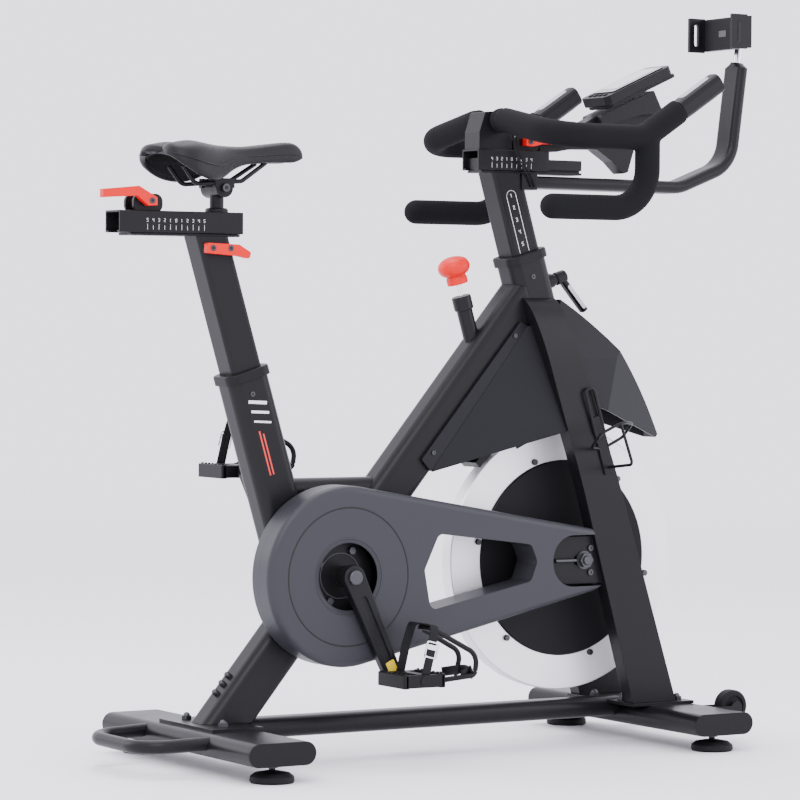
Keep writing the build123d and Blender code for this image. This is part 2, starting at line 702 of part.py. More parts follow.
def flywheel():
    """Heavy rim, thin web and hub, cast in one piece."""
    rim = ring_y(FLYWHEEL_X, FLYWHEEL_Z, FLYWHEEL_R, 158, -14, 14)
    rim = chamfer(rim.edges().filter_by(lambda e: e.length > 1300), 1.5)
    web = rod_y(FLYWHEEL_X, FLYWHEEL_Z, 160, -4, 4)
    hub = rod_y(FLYWHEEL_X, FLYWHEEL_Z, 30, -22, 22)
    wheel = rim + web + hub
    return wheel - rod_y(FLYWHEEL_X, FLYWHEEL_Z, 16, -40, 40)


def flywheel_covers():
    """Dished discs on both sides of the flywheel and the bolts that hold them."""
    disc = ring_y(FLYWHEEL_X, FLYWHEEL_Z, 162, 31, -18, -14)
    disc = chamfer(disc.edges().filter_by(lambda e: e.length > 1000 and e.center().Y < -17), 2.5)
    pieces = on_both_sides(disc)
    for turn in range(6):
        angle = radians(49.6 + 60 * turn)
        x, z = FLYWHEEL_X + 169 * cos(angle), FLYWHEEL_Z + 169 * sin(angle)
        bolt = rod_y(x, z, 5, -18, -14)
        pieces += on_both_sides(bolt)
    return group(pieces)


def flywheel_pulley():
    rim_r = SMALL_PITCH_R - BELT_THICK / 2 - GAP
    pulley = rod_y(FLYWHEEL_X, FLYWHEEL_Z, rim_r, BELT_LOW_Y, BELT_HIGH_Y)
    pulley += rod_y(FLYWHEEL_X, FLYWHEEL_Z, 30, BELT_HIGH_Y, -22)
    return pulley - rod_y(FLYWHEEL_X, FLYWHEEL_Z, 12, -60, -20)


def flywheel_bearings():
    bearing = ring_y(FLYWHEEL_X, FLYWHEEL_Z, 15.95, FLY_AXLE_R + RUNNING_FIT, -21, -9)
    return group(on_both_sides(bearing))


def flywheel_axle():
    axle = rod_y(FLYWHEEL_X, FLYWHEEL_Z, FLY_AXLE_R, -92, 92)
    return chamfer(axle.edges(), 1)


# ---------------------------------------------------------------- seat
def slide_box(x0, x1, low):
    """Channel that slides along a rail, open underneath along a slot."""
    half = SLIDE_WIDTH / 2
    outside = RectangleRounded(SLIDE_WIDTH, SLIDE_HEIGHT, 2)
    outside -= Rectangle(SLIDE_WIDTH - 2 * SLIDE_WALL, SLIDE_HEIGHT - 2 * SLIDE_WALL)
    outside -= Pos(0, -half) * Rectangle(SLIDE_SLOT, 2 * half - SLIDE_HEIGHT + 4 * SLIDE_WALL)
    return extrude(Plane.YZ.offset(x0) * Pos(0, low + SLIDE_HEIGHT / 2) * outside, amount=x1 - x0)


def rail_bar(x0, x1, low):
    """Rail that a slide box rides on: foot plate, neck and head."""
    slide_low = low + RAIL_FOOT + GAP
    foot = block(x0, x1, -RAIL_WIDTH / 2, RAIL_WIDTH / 2, low, low + RAIL_FOOT)
    neck_half = SLIDE_SLOT / 2 - GAP
    neck = block(x0, x1, -neck_half, neck_half, low, slide_low + SLIDE_WALL + GAP)
    head = block(x0, x1, -RAIL_WIDTH / 2, RAIL_WIDTH / 2, slide_low + SLIDE_WALL + GAP, slide_low + 20)
    return foot + neck + head


def post_bar(axis_x, bottom_z, top_z):
    """Rectangular telescopic tube, hollow, leaning with its outer tube."""
    length = (top_z - bottom_z) / LEAN_COS
    place = leaning(axis_x(bottom_z), bottom_z)
    tube = rounded_bar(POST_DEPTH, POST_WIDTH, POST_CORNER, 0, length + 20)
    tube -= rounded_bar(
        POST_DEPTH - 2 * POST_WALL, POST_WIDTH - 2 * POST_WALL, POST_CORNER - POST_WALL, -1, length + 21
    )
    return place * tube - block(-400, 900, -60, 60, top_z, top_z + 100)


def seat_post():
    post = post_bar(seat_axis_x, SEAT_POST_BOTTOM_Z, SEAT_RAIL_Z)
    post += rail_bar(SEAT_RAIL_X0, SEAT_RAIL_X1, SEAT_RAIL_Z)
    return post - rod_y(HEIGHT_LEVER_X, HEIGHT_LEVER_Z, 3 + RUNNING_FIT, -60, 0)


def handlebar_post():
    """Handlebar post with its rail and the socket that carries the phone arm."""
    post = post_bar(head_axis_x, BAR_POST_BOTTOM_Z, BAR_RAIL_Z)
    post += rail_bar(BAR_RAIL_X0, BAR_RAIL_X1, BAR_RAIL_Z)
    return post


SEAT_SLIDE_Z = SEAT_RAIL_Z + RAIL_FOOT + GAP
BAR_SLIDE_Z = BAR_RAIL_Z + RAIL_FOOT + GAP
SLIDE_LEVER_X = -318.6      # seat slide lever's pin
SLIDE_LEVER_Z = 881.0
BAR_LEVER_X = 377.6
BAR_LEVER_Z = 994.0
HEIGHT_LEVER_X = -215.7
HEIGHT_LEVER_Z = 810.0


def lever_bracket(x, z, low):
    """Two rounded cheeks that hold a cam lever's pin on top of a slide."""
    outline = Pos(x, (z + low) / 2 + 4) * RectangleRounded(50, z - low + 14, 12)
    cheeks = side_prism(outline, -17, 17) - side_prism(outline, -11, 11)
    cheeks -= block(x - 60, x + 60, -30, 30, low - 60, low)
    return cheeks - rod_y(x, z, 4 + RUNNING_FIT, -40, 40)


def seat_slider():
    top = SEAT_SLIDE_Z + SLIDE_HEIGHT
    return slide_box(SEAT_SLIDE_X0, SEAT_SLIDE_X1, SEAT_SLIDE_Z) + lever_bracket(
        SLIDE_LEVER_X, SLIDE_LEVER_Z, top
    )


def cam_lever(x, z, reach, rise, depth):
    """Red lever: cam and pin between the cheeks, and an arm that leads to a handle of this depth."""
    way = 1 if reach > 0 else -1
    cam = rod_y(x, z, 8, -10.5, 10.5)
    pin = rod_y(x, z, 4, -28, 17)
    arm = polygon([
        (x - 9 * way, z - 7), (x - 9 * way, z + 5), (x + reach * 0.27, z + rise + depth * 0.62),
        (x + reach, z + rise + 2), (x + reach, z + rise + 2 - depth),
        (x + reach * 0.3, z + rise - depth * 0.54), (x + 6 * way, z - 8),
    ])
    return cam + pin + side_prism(arm, -31, -19)


def seat_height_lever():
    """Flat red lever on the near side of the seat post, turning on a pin."""
    x, z = HEIGHT_LEVER_X, HEIGHT_LEVER_Z
    outline = polygon([(x - 11, z - 8), (x - 11, z + 8), (x + 46, z + 6), (x + 67, z - 6),
                       (x + 64, z - 16), (x + 44, z - 12)], 3)
    plate = side_prism(outline, -38, -27)
    plate -= side_prism(Pos(x + 31, z) * Circle(3.5), -40, -30)
    return plate + rod_y(x, z, 3, -30, -20)


def saddle_post():
    """Short post on the seat slide with the two-piece saddle clamp's lower cradle."""
    top = SEAT_SLIDE_Z + SLIDE_HEIGHT
    stub = rod_z(SADDLE_AXIS_X, 0, 11, top, SADDLE_AXIS_Z - 4)
    flange = rod_z(SADDLE_AXIS_X, 0, 18, top, top + 7)
    flange = fillet(flange.edges().group_by(Axis.Z)[-1], 4)
    head = rod_y(SADDLE_AXIS_X, SADDLE_AXIS_Z, 15, -12, 12)
    post = stub + flange + head
    return post - rod_y(SADDLE_AXIS_X, SADDLE_AXIS_Z, 5 + RUNNING_FIT, -40, 40)


def saddle_rails():
    """Twin rails and the clamp that holds them, which tilts with the saddle."""
    boss = rod_y(SADDLE_AXIS_X, SADDLE_AXIS_Z, 15, 12 + GAP, 26)
    rail = bent_tube([(-262, 24, 937), (-240, 22, 909), (-158, 22, 915), (-112, 16, 945)], [14, 14], 3.5)
    grip = block(SADDLE_AXIS_X - 17, SADDLE_AXIS_X + 17, 17, 27, SADDLE_AXIS_Z, 919)
    side = boss + rail + grip
    return side + mirror_y(side) + rod_y(SADDLE_AXIS_X, SADDLE_AXIS_Z, 5, -30, 30)


def saddle():
    """Padded saddle as a plain closed solid: broad rear, long nose, hollow underneath."""
    half = Spline((-41, 0), (-60, 20), (-150, 28), (-215, 54), (-270, 77), (-306, 68), (-316, 30), (-304, 0))
    plan = make_face([half, mirror(half, about=Plane.XZ)])
    profile = make_face([
        Spline((-316, 952), (-302, 970), (-258, 976), (-190, 969), (-120, 967), (-62, 970), (-41, 960)),
        Polyline((-41, 960), (-50, 950), (-141, 944), (-196, 938), (-212, 916), (-238, 914), (-292, 936),
                 (-316, 952)),
    ])
    cushion = extrude(Pos(0, 0, 900) * plan, amount=90) & side_prism(profile, -90, 90)
    cushion -= block(-280, -95, -44, 44, 850, 943)
    return cushion - saddle_rails()


# ---------------------------------------------------------------- handlebar
def handlebar_slider():
    """Handlebar slide with the lever bracket and the stem block that clamps the bar."""
    top = BAR_SLIDE_Z + SLIDE_HEIGHT
    stem = polygon([(283, top - 1), (283, top + 28), (294, 1040), (330, 1043), (345, 1031), (345, top - 1)], 2)
    slide = slide_box(BAR_SLIDE_X0, BAR_SLIDE_X1, BAR_SLIDE_Z)
    slide += side_prism(stem, -22, 22) - block(200, 500, -60, 60, 900, top)
    slide += lever_bracket(BAR_LEVER_X, BAR_LEVER_Z, top)
    return slide - rod_y(BAR_STEM_X, BAR_STEM_Z, BAR_CORE_R + 0.1, -40, 40)


def horn_point(along):
    rise = radians(HORN_RISE)
    return HORN_KNEE_X + along * cos(rise), BAR_SIDE_Z + along * sin(rise)


def side_path():
    """Centre line of one half of the bar: stem, shoulder, side and horn."""
    horn_x, horn_z = horn_point(HORN_LENGTH)
    return [
        (BAR_STEM_X, 0, BAR_STEM_Z), (BAR_STEM_X, -45, BAR_STEM_Z), (BAR_STEM_X - 4, -BAR_Y, BAR_SIDE_Z),
        (HORN_KNEE_X, -BAR_Y, BAR_SIDE_Z), (horn_x, -BAR_Y, horn_z),
    ]


def drop_path():
    """Centre line of the lower grip, bent back towards the rider."""
    return [(DROP_X, -BAR_Y, BAR_SIDE_Z), (DROP_X, -BAR_Y, GRIP_Z), (GRIP_END_X, -BAR_Y, GRIP_Z)]


def bar_half(radius):
    side = bent_tube(side_path(), [25, 58, 60], radius)
    drop = bent_tube(drop_path(), [64], radius)
    return side + drop


def handlebar_tube():
    core = bar_half(BAR_CORE_R)
    return core + mirror_y(core)


def handlebar_grips():
    """Foam over both halves of the bar, and a plastic sleeve on each horn."""
    foam = bar_half(BAR_FOAM_R) + Pos(GRIP_END_X, -BAR_Y, GRIP_Z) * Sphere(BAR_FOAM_R)
    foam -= bar_half(BAR_CORE_R + 0.1)
    foam -= block(200, 500, -24, 24, 900, 1200)
    start_x, start_z = horn_point(HORN_LENGTH - SLEEVE_LENGTH)
    place = Pos(start_x, -BAR_Y, start_z) * Rot(0, 90 - HORN_RISE, 0)
    foam -= place * Pos(0, 0, 60) * Box(120, 120, 120)
    sleeve = place * rounded_bar(34, 34, 9, 0.2, SLEEVE_LENGTH + 3)
    sleeve -= bar_half(BAR_CORE_R + 0.1)
    return group([foam, sleeve, mirror_y(foam), mirror_y(sleeve)])


CONSOLE_TILT = 24.0


def console_place():
    """Middle of the console's screen face, with local Z out of the screen."""
    return Pos(587, 0, 1101) * Rot(0, -CONSOLE_TILT, 0)


def console():
    """Flat training computer with a raised screen."""
    case = rounded_bar(144, 76, 9, -17, 0)
    case = fillet(case.edges().group_by(Axis.Z)[0], 3)
    screen = Pos(6, 0, 0) * extrude(RectangleRounded(108, 58, 5), amount=1)
    return console_place() * (case + screen)


def console_cradle():
    """Moulded support under the console, standing on the end of the handlebar slide."""
    tray = polygon([(520, 1022), (600, 1046), (646, 1050), (626, 1088), (520, 1042)], 3)
    fin = polygon([(430, 978), (470, 985), (521, 986), (552, 967), (574, 947), (584, 950), (600, 1000),
                   (640, 1052), (600, 1070), (520, 1042), (440, 1000)], 3)
    cradle = side_prism(tray, -28, 28) + side_prism(fin, -14, 14)
    cradle -= console_place() * rounded_bar(150, 90, 5, -17, 60)
    arm = block(404, 440, -17, 17, BAR_SLIDE_Z + SLIDE_HEIGHT, 992)
    return cradle + arm - block(300, 500, -60, 60, 900, BAR_SLIDE_Z + SLIDE_HEIGHT)


def sensor_leads():
    """Two thin leads from the grips' sensors down the near side of the slide."""
    leads = []
    for shift in (0, 7):
        points = [
            (343 + shift, -30, 1004), (345 + shift, -31, 980), (358 + shift, -31, 955),
            (374 + shift, -31, 935), (380 + shift, -30, 920),
        ]
        leads.append(bent_tube(points, [18, 30, 40], 1.3))
    return group(leads)


# ---------------------------------------------------------------- phone holder
ARM_BEND_A = (690.0, 927.0)
ARM_BEND_B = (796.5, 968.5)
ARM_TOP = (818.5, 1134.0)
JAW_LOW_Z = 1163.0
JAW_HIGH_Z = 1221.0


def arm_sweep(width, thick, start_x):
    points = [(start_x, 0, ARM_Z), (ARM_BEND_A[0], 0, ARM_BEND_A[1]),
              (ARM_BEND_B[0], 0, ARM_BEND_B[1]), (ARM_TOP[0], 0, ARM_TOP[1])]
    path = FilletPolyline(*points, radius=[70, 62])
    section = Plane(origin=path @ 0, x_dir=(0, 1, 0), z_dir=path % 0) * SlotOverall(width, thick)
    return sweep(section, path=path)


def rod_lean():
    return degrees(atan2(ARM_TOP[0] - ARM_BEND_B[0], ARM_TOP[1] - ARM_BEND_B[1]))


def phone_rod_place():
    return Pos(ARM_TOP[0], 0, ARM_TOP[1]) * Rot(0, rod_lean(), 0)


def phone_arm():
    """Flat oval arm from the handlebar post, bent up to the phone holder."""
    start = head_axis_x(ARM_Z) + POST_DEPTH / 2 / LEAN_COS - 6
    arm = arm_sweep(ARM_WIDTH, ARM_THICK, start) - arm_sweep(ARM_WIDTH - 5, ARM_THICK - 5, start - 1)
    socket = block(start, start + 30, -28, 28, ARM_Z - 13.5, BAR_RAIL_Z - 0.2)
    half = ARM_WIDTH / 2 + 0.1
    socket -= block(start - 1, start + 31, -half, half, ARM_Z - 10.6, ARM_Z + 10.6)
    collar = phone_rod_place() * loft([
        SlotOverall(ARM_WIDTH, ARM_THICK).rotate(Axis.Z, 90), Pos(0, 0, 9) * Circle(11)
    ])
    arm += socket + collar
    arm -= leaning(head_axis_x(BAR_POST_BOTTOM_Z), BAR_POST_BOTTOM_Z) * rounded_bar(
        POST_DEPTH, POST_WIDTH, POST_CORNER, 0, 400
    )
    return arm - phone_rod_place() * rod_z(0, 0, 7 + RUNNING_FIT, -40, 20)


def phone_rod():
    """Round rod that turns in the arm's collar, with an eye for the clamp's pin."""
    rod = phone_rod_place() * (rod_z(0, 0, 7, -35, 45) + rod_z(0, 0, 5.5, 40, 54))
    rod += rod_y(CLAMP_HINGE_X, CLAMP_HINGE_Z, 9, -6, 6)
    return rod - rod_y(CLAMP_HINGE_X, CLAMP_HINGE_Z, 3 + RUNNING_FIT, -20, 20)


def jaw_plate(y0, y1):
    """Upright jaw with a long slot, standing towards the rider."""
    plate = block(762, 794, y0, y1, JAW_LOW_Z, JAW_HIGH_Z)
    slot = Pos(776, (JAW_LOW_Z + JAW_HIGH_Z) / 2) * Rot(0, 0, 90) * SlotOverall(38, 9)
    return plate - side_prism(slot, y0 - 1, y1 + 1)


def phone_clamp():
    """Back plate, far jaw and the two ears that tilt on the rod's eye."""
    middle = (JAW_LOW_Z + JAW_HIGH_Z) / 2
    body = block(790, 803, -52, 61, JAW_LOW_Z + 2, JAW_HIGH_Z - 2) + jaw_plate(57, 63)
    body -= block(793, 800, -60, 40, middle - 15, middle + 15)
    body += rod_x(0, middle, 18, 803, 808)
    for y0, y1 in ((-12, -6.3), (6.3, 12)):
        ear = block(803, CLAMP_HINGE_X, y0, y1, CLAMP_HINGE_Z - 9, CLAMP_HINGE_Z + 9)
        body += ear + rod_y(CLAMP_HINGE_X, CLAMP_HINGE_Z, 9, y0, y1)
    return body + rod_y(CLAMP_HINGE_X, CLAMP_HINGE_Z, 3, -14, 14)


def phone_jaw():
    """Near jaw and the tongue that slides in the back plate."""
    middle = (JAW_LOW_Z + JAW_HIGH_Z) / 2
    jaw = jaw_plate(-63, -57) + block(790, 803, -63, -52.4, JAW_LOW_Z + 2, JAW_HIGH_Z - 2)
    return jaw + block(793 + GAP, 800 - GAP, -58, 0, middle - 15 + GAP, middle + 15 - GAP)


# ---------------------------------------------------------------- knob, brake, clamp, wheels, feet
def brake_rod():
    """Steel rod from the knob to a felt shoe above the flywheel's rim."""
    rod = KNOB * rod_z(0, 0, ROD_R, -176, 118)
    shoe = KNOB * block(-16, 16, -10, 10, -200, -174)
    shoe -= rod_y(FLYWHEEL_X, FLYWHEEL_Z, FLYWHEEL_R + PAD_CLEARANCE, -60, 60)
    return rod + shoe


def resistance_knob():
    """Mushroom knob: a waisted skirt under a broad dome."""
    profile = make_face([
        Polyline((0, 84), (17, 84), (17.5, 92), (15.5, 98)),
        Spline((15.5, 98), (24, 104), (26.5, 112), (24, 120), (14, 127), (0, 129)),
        Line((0, 129), (0, 84)),
    ])
    knob = revolve(Plane.XZ * profile, Axis.Z)
    return KNOB * (knob - rod_z(0, 0, ROD_R + RUNNING_FIT, 80, 119))


def polar(radius, angle):
    return (FLYWHEEL_X + radius * cos(radians(angle)), FLYWHEEL_Z + radius * sin(radians(angle)))


def arc_band(r0, r1, a0, a1):
    """Outline of a band that follows the flywheel's rim."""
    middle = (a0 + a1) / 2
    return make_face([
        ThreePointArc(polar(r0, a0), polar(r0, middle), polar(r0, a1)),
        Line(polar(r0, a1), polar(r1, a1)),
        ThreePointArc(polar(r1, a1), polar(r1, middle), polar(r1, a0)),
        Line(polar(r1, a0), polar(r0, a0)),
    ])


def magnet_caliper():
    """Magnet carrier that straddles the rim and swings on the head tube's ears."""
    cheek = arc_band(206, 246, 105, 118) + arc_band(238, 262, 102, 112)
    cheek += Pos(CALIPER_PIVOT_X, CALIPER_PIVOT_Z) * Circle(10)
    side = side_prism(cheek, -24.5, -21.5) + side_prism(arc_band(228, 240, 108, 138), -24.5, -14)
    for angle in (108, 114):
        x, z = polar(217, angle)
        side += rod_y(x, z, 9, -21.5, -18.5)
    carrier = side + mirror_y(side) + side_prism(arc_band(228, 240, 131, 138), -24.5, 24.5)
    return carrier + rod_y(CALIPER_PIVOT_X, CALIPER_PIVOT_Z, 4, -29.5, 29.5)


def head_clamp_lever():
    """Ratchet lever on a screw that grips the handlebar post."""
    face = TUBE_DEPTH / 2 + CLAMP_BOSS
    screw = rod_x(0, -CLAMP_DOWN, CLAMP_SCREW_R, POST_DEPTH / 2 + GAP, face + 10)
    neck = rod_x(0, -CLAMP_DOWN, 9, face + GAP, face + 8)
    hub = rod_x(0, -CLAMP_DOWN, 11, face + 7, face + 27)
    hub = fillet(hub.edges(), 2)
    arm = Pos(face + 18, 0, -CLAMP_DOWN) * Rot(0, 155, 0) * rounded_bar(11, 17, 5, 6, 72)
    return HEAD * (screw + neck + hub + arm)


def transport_wheel(side):
    wheel = rod_y(WHEEL_X, WHEEL_Z, WHEEL_R, -WHEEL_WIDTH / 2, WHEEL_WIDTH / 2)
    wheel = fillet(wheel.edges(), 5)
    wheel -= rod_y(WHEEL_X, WHEEL_Z, 18, -WHEEL_WIDTH, -WHEEL_WIDTH / 2 + 3)
    wheel -= rod_y(WHEEL_X, WHEEL_Z, 18, WHEEL_WIDTH / 2 - 3, WHEEL_WIDTH)
    wheel -= rod_y(WHEEL_X, WHEEL_Z, 4 + RUNNING_FIT, -60, 60)
    return Pos(0, side * WHEEL_Y, 0) * wheel


def levelling_foot(x, y):
    """Rubber foot on a threaded stud."""
    pad = make_face([
        Polyline((0, 0), (FOOT_R - 2, 0), (FOOT_R, 3), (FOOT_R - 1, 10), (27, 15), (12, 18), (0, 18), (0, 0))
    ])
    foot = revolve(Plane.XZ * pad, Axis.Z)
    return Pos(x, y, 0) * (foot + rod_z(0, 0, STUD_R, 17, STABILISER_Z + 22))


def bottle_cage():
    """Wire bottle cage on the right leg: backing plate, upright loop, rising hoop and bail."""
    place = Pos(489, -82, 497) * Rot(0, -15, 0) * Rot(-4.2, 0, 0)
    plate = block(-10, 10, -3, 3, -48, 48)
    loop = bent_tube([(-9, -2, 20), (-9, -4, 96), (9, -4, 96), (9, -2, 20)], [8, 8], 2.5)
    hoop = bent_tube(
        [(-8, -2, -4), (-32, -16, 4), (-32, -54, 26), (0, -74, 36), (32, -54, 26), (32, -16, 4), (8, -2, -4)],
        [12, 14, 26, 14, 12], 2.5,
    )
    bail = bent_tube([(0, -69, 34), (0, -73, -36), (0, -1, -38)], [8], 2.5)
    return place * (plate + loop + hoop + bail) - leg_shape()


# ---------------------------------------------------------------- write every node
def main():
    os.makedirs("parts", exist_ok=True)
    save("main_tube", main_tube())
    save("seat_tube", seat_tube())
    save("head_tube", head_tube())
    save("fork_leg_right", fork_leg(-1))
    save("fork_leg_left", fork_leg(1))
    save("base_beam", base_beam())
    save("rear_stabiliser", rear_stabiliser())
    save("front_stabiliser", front_stabiliser())
    save("rear_handle", rear_handle())
    save("plastic_caps", plastic_caps())
    save("frame_fasteners", frame_fasteners())
    save("belt_cover_outer", belt_cover_outer())
    save("belt_cover_inner", belt_cover_inner())
    save("side_cover_right", side_cover(-1))
    save("side_cover_left", side_cover(1))
    save("front_shroud", front_shroud())
    save("drive_belt", drive_belt())
    save("crank_pulley", crank_pulley())
    save("crank_axle", crank_axle())
    save("crank_bearings", crank_bearings())
    save("crank_arm_right", crank_arm(-1))
    save("crank_arm_left", crank_arm(1))
    save("crank_fittings", crank_fittings())
    save("pedal_right", pedal(-1))
    save("pedal_left", pedal(1))
    save("flywheel", flywheel())
    save("flywheel_covers", flywheel_covers())
    save("flywheel_pulley", flywheel_pulley())
    save("flywheel_bearings", flywheel_bearings())
    save("flywheel_axle", flywheel_axle())
    save("seat_post", seat_post())
    save("seat_slider", seat_slider())
    save("seat_slide_lever", cam_lever(SLIDE_LEVER_X, SLIDE_LEVER_Z, -84, 14, 13))
    save("seat_height_lever", seat_height_lever())
    save("saddle_post", saddle_post())
    save("saddle_rails", saddle_rails())
    save("saddle", saddle())
    save("handlebar_post", handlebar_post())
    save("handlebar_slider", handlebar_slider())
    save("handlebar_lever", cam_lever(BAR_LEVER_X, BAR_LEVER_Z, 84, 0, 6))
    save("handlebar_tube", handlebar_tube())
    save("handlebar_grips", handlebar_grips())
    save("console", console())
    save("console_cradle", console_cradle())
    save("sensor_leads", sensor_leads())
    save("phone_arm", phone_arm())
    save("phone_rod", phone_rod())
    save("phone_clamp", phone_clamp())
    save("phone_jaw", phone_jaw())
    save("brake_rod", brake_rod())
    save("resistance_knob", resistance_knob())
    save("magnet_caliper", magnet_caliper())
    save("head_clamp_lever", head_clamp_lever())
    save("bottle_cage", bottle_cage())
    for name, side in (("right", -1), ("left", 1)):
        save(f"transport_wheel_{name}", transport_wheel(side))
        save(f"foot_rear_{name}", levelling_foot(REAR_X, side * FOOT_Y))
        save(f"foot_front_{name}", levelling_foot(FRONT_X, side * FOOT_Y))


main()
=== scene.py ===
import json
from math import cos, exp, pi, radians, sin, sqrt, tan

import bpy
from mathutils import Matrix, Vector


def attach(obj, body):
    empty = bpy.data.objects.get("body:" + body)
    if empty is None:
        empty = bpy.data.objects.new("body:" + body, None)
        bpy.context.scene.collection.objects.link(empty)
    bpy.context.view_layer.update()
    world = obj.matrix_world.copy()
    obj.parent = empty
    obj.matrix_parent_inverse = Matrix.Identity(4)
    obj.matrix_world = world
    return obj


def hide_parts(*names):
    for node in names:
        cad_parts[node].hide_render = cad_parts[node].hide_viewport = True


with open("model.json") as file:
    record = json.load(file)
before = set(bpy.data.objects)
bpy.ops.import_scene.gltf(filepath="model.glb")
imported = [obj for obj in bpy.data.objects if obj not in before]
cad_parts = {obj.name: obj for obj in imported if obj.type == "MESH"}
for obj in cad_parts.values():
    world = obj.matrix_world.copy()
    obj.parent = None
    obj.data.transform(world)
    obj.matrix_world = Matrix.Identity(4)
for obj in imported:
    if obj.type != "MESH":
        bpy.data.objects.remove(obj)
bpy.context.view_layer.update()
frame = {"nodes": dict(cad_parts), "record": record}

CRANK_X = -218.0            # crank axis in the frame, mm
CRANK_Z = 296.5             # height of the crank axis, mm
CRANK_LENGTH = 175.0        # crank axis to pedal axis, mm
WHEEL_X = 456.5             # flywheel axis, mm forward of the crank axis
WHEEL_Z = 308.5
LEAN = radians(16.7)        # seat tube and head tube lean back
nodes = frame["nodes"]


def at(x, y, z):
    """A point in metres from millimetres measured forward of the crank axis."""
    return Vector(((x + CRANK_X) / 1000, y / 1000, z / 1000))


# ---------------------------------------------------------------- materials
def new_material(name, colour, roughness, metallic=0.0, coat=0.0, gloss=0.5):
    material = bpy.data.materials.new(name)
    material.use_nodes = True
    shader = material.node_tree.nodes["Principled BSDF"]
    shader.inputs["Base Color"].default_value = (*colour, 1)
    shader.inputs["Roughness"].default_value = roughness
    shader.inputs["Metallic"].default_value = metallic
    shader.inputs["Coat Weight"].default_value = coat
    shader.inputs["Specular IOR Level"].default_value = gloss
    return material


def add_relief(material, scale, distance, kind="NOISE", soften=0.0, stretch=(1, 1, 1)):
    """Fine surface relief, over edges that a bevel node rounds off."""
    tree = material.node_tree
    shader = tree.nodes["Principled BSDF"]
    place = tree.nodes.new("ShaderNodeTexCoord")
    mapping = tree.nodes.new("ShaderNodeMapping")
    mapping.inputs["Scale"].default_value = stretch
    tree.links.new(place.outputs["Object"], mapping.inputs["Vector"])
    if kind == "NOISE":
        texture = tree.nodes.new("ShaderNodeTexNoise")
        texture.inputs["Detail"].default_value = 4
        height = texture.outputs["Fac"]
    else:
        texture = tree.nodes.new("ShaderNodeTexVoronoi")
        height = texture.outputs["Distance"]
    texture.inputs["Scale"].default_value = scale
    tree.links.new(mapping.outputs["Vector"], texture.inputs["Vector"])
    bump = tree.nodes.new("ShaderNodeBump")
    bump.inputs["Strength"].default_value = 0.35
    bump.inputs["Distance"].default_value = distance
    tree.links.new(height, bump.inputs["Height"])
    if soften:
        bevel = tree.nodes.new("ShaderNodeBevel")
        bevel.samples = 4
        bevel.inputs["Radius"].default_value = soften
        tree.links.new(bevel.outputs["Normal"], bump.inputs["Normal"])
    tree.links.new(bump.outputs["Normal"], shader.inputs["Normal"])
    return material


def vary_roughness(material, scale, low, high):
    """Slightly uneven gloss, as on handled paint."""
    tree = material.node_tree
    place = tree.nodes.new("ShaderNodeTexCoord")
    texture = tree.nodes.new("ShaderNodeTexNoise")
    texture.inputs["Scale"].default_value = scale
    ramp = tree.nodes.new("ShaderNodeMapRange")
    ramp.inputs["To Min"].default_value = low
    ramp.inputs["To Max"].default_value = high
    tree.links.new(place.outputs["Object"], texture.inputs["Vector"])
    tree.links.new(texture.outputs["Fac"], ramp.inputs["Value"])
    tree.links.new(ramp.outputs["Result"], tree.nodes["Principled BSDF"].inputs["Roughness"])
    return material


paint = new_material("frame_paint", (0.006, 0.006, 0.007), 0.36, gloss=0.17)
add_relief(paint, 900, 0.0002, soften=0.0014)
vary_roughness(paint, 14, 0.30, 0.40)
cover = add_relief(new_material("cover_plastic", (0.026, 0.026, 0.031), 0.42, gloss=0.24),
                   1500, 0.0002, soften=0.0012)
panel = add_relief(new_material("panel_plastic", (0.006, 0.006, 0.008), 0.42, gloss=0.18),
                   1500, 0.0002, soften=0.0012)
plastic = add_relief(new_material("black_plastic", (0.005, 0.005, 0.006), 0.40, gloss=0.16),
                     1200, 0.0002, soften=0.0008)
disc_black = add_relief(new_material("disc_black", (0.005, 0.005, 0.006), 0.5, gloss=0.14),
                        900, 0.0002)
foam = add_relief(new_material("foam", (0.006, 0.006, 0.007), 0.85, gloss=0.1),
                  700, 0.0006)
rubber = add_relief(new_material("rubber", (0.006, 0.006, 0.007), 0.6, gloss=0.14),
                    800, 0.0003, soften=0.0008)
vinyl = add_relief(new_material("saddle_vinyl", (0.005, 0.005, 0.006), 0.36, gloss=0.2),
                   1400, 0.0005, "VORONOI")
webbing = add_relief(new_material("webbing", (0.006, 0.006, 0.007), 0.75, gloss=0.2),
                     500, 0.001, stretch=(1, 1, 4))
chrome = new_material("chrome", (0.78, 0.78, 0.8), 0.12, metallic=1.0)
steel = add_relief(new_material("machined_steel", (0.9, 0.9, 0.92), 0.38, metallic=0.55),
                   300, 0.0001)
zinc = add_relief(new_material("dark_zinc", (0.06, 0.06, 0.065), 0.36, metallic=0.8),
                  600, 0.0001, soften=0.0004)
red = add_relief(new_material("red_plastic", (0.62, 0.006, 0.004), 0.36, gloss=0.2),
                 60, 0.0001, soften=0.001)
silver = add_relief(new_material("silver_paint", (0.42, 0.42, 0.44), 0.35, metallic=0.6),
                    700, 0.0001, soften=0.0006)
white_ink = new_material("white_ink", (0.75, 0.75, 0.77), 0.6)
red_ink = new_material("red_ink", (0.6, 0.03, 0.02), 0.6)
yellow = new_material("yellow_label", (0.85, 0.6, 0.02), 0.5)
glass = new_material("screen_glass", (0.42, 0.44, 0.46), 0.08, coat=1.0)
dark_glass = new_material("dark_glass", (0.02, 0.02, 0.022), 0.1, coat=1.0)
# Near-black for flat discs and rings that stand in for the painted shade inside holes, sockets and a groove
painted_hole_shade = new_material("painted_hole_shade", (0.003, 0.003, 0.003), 0.8)

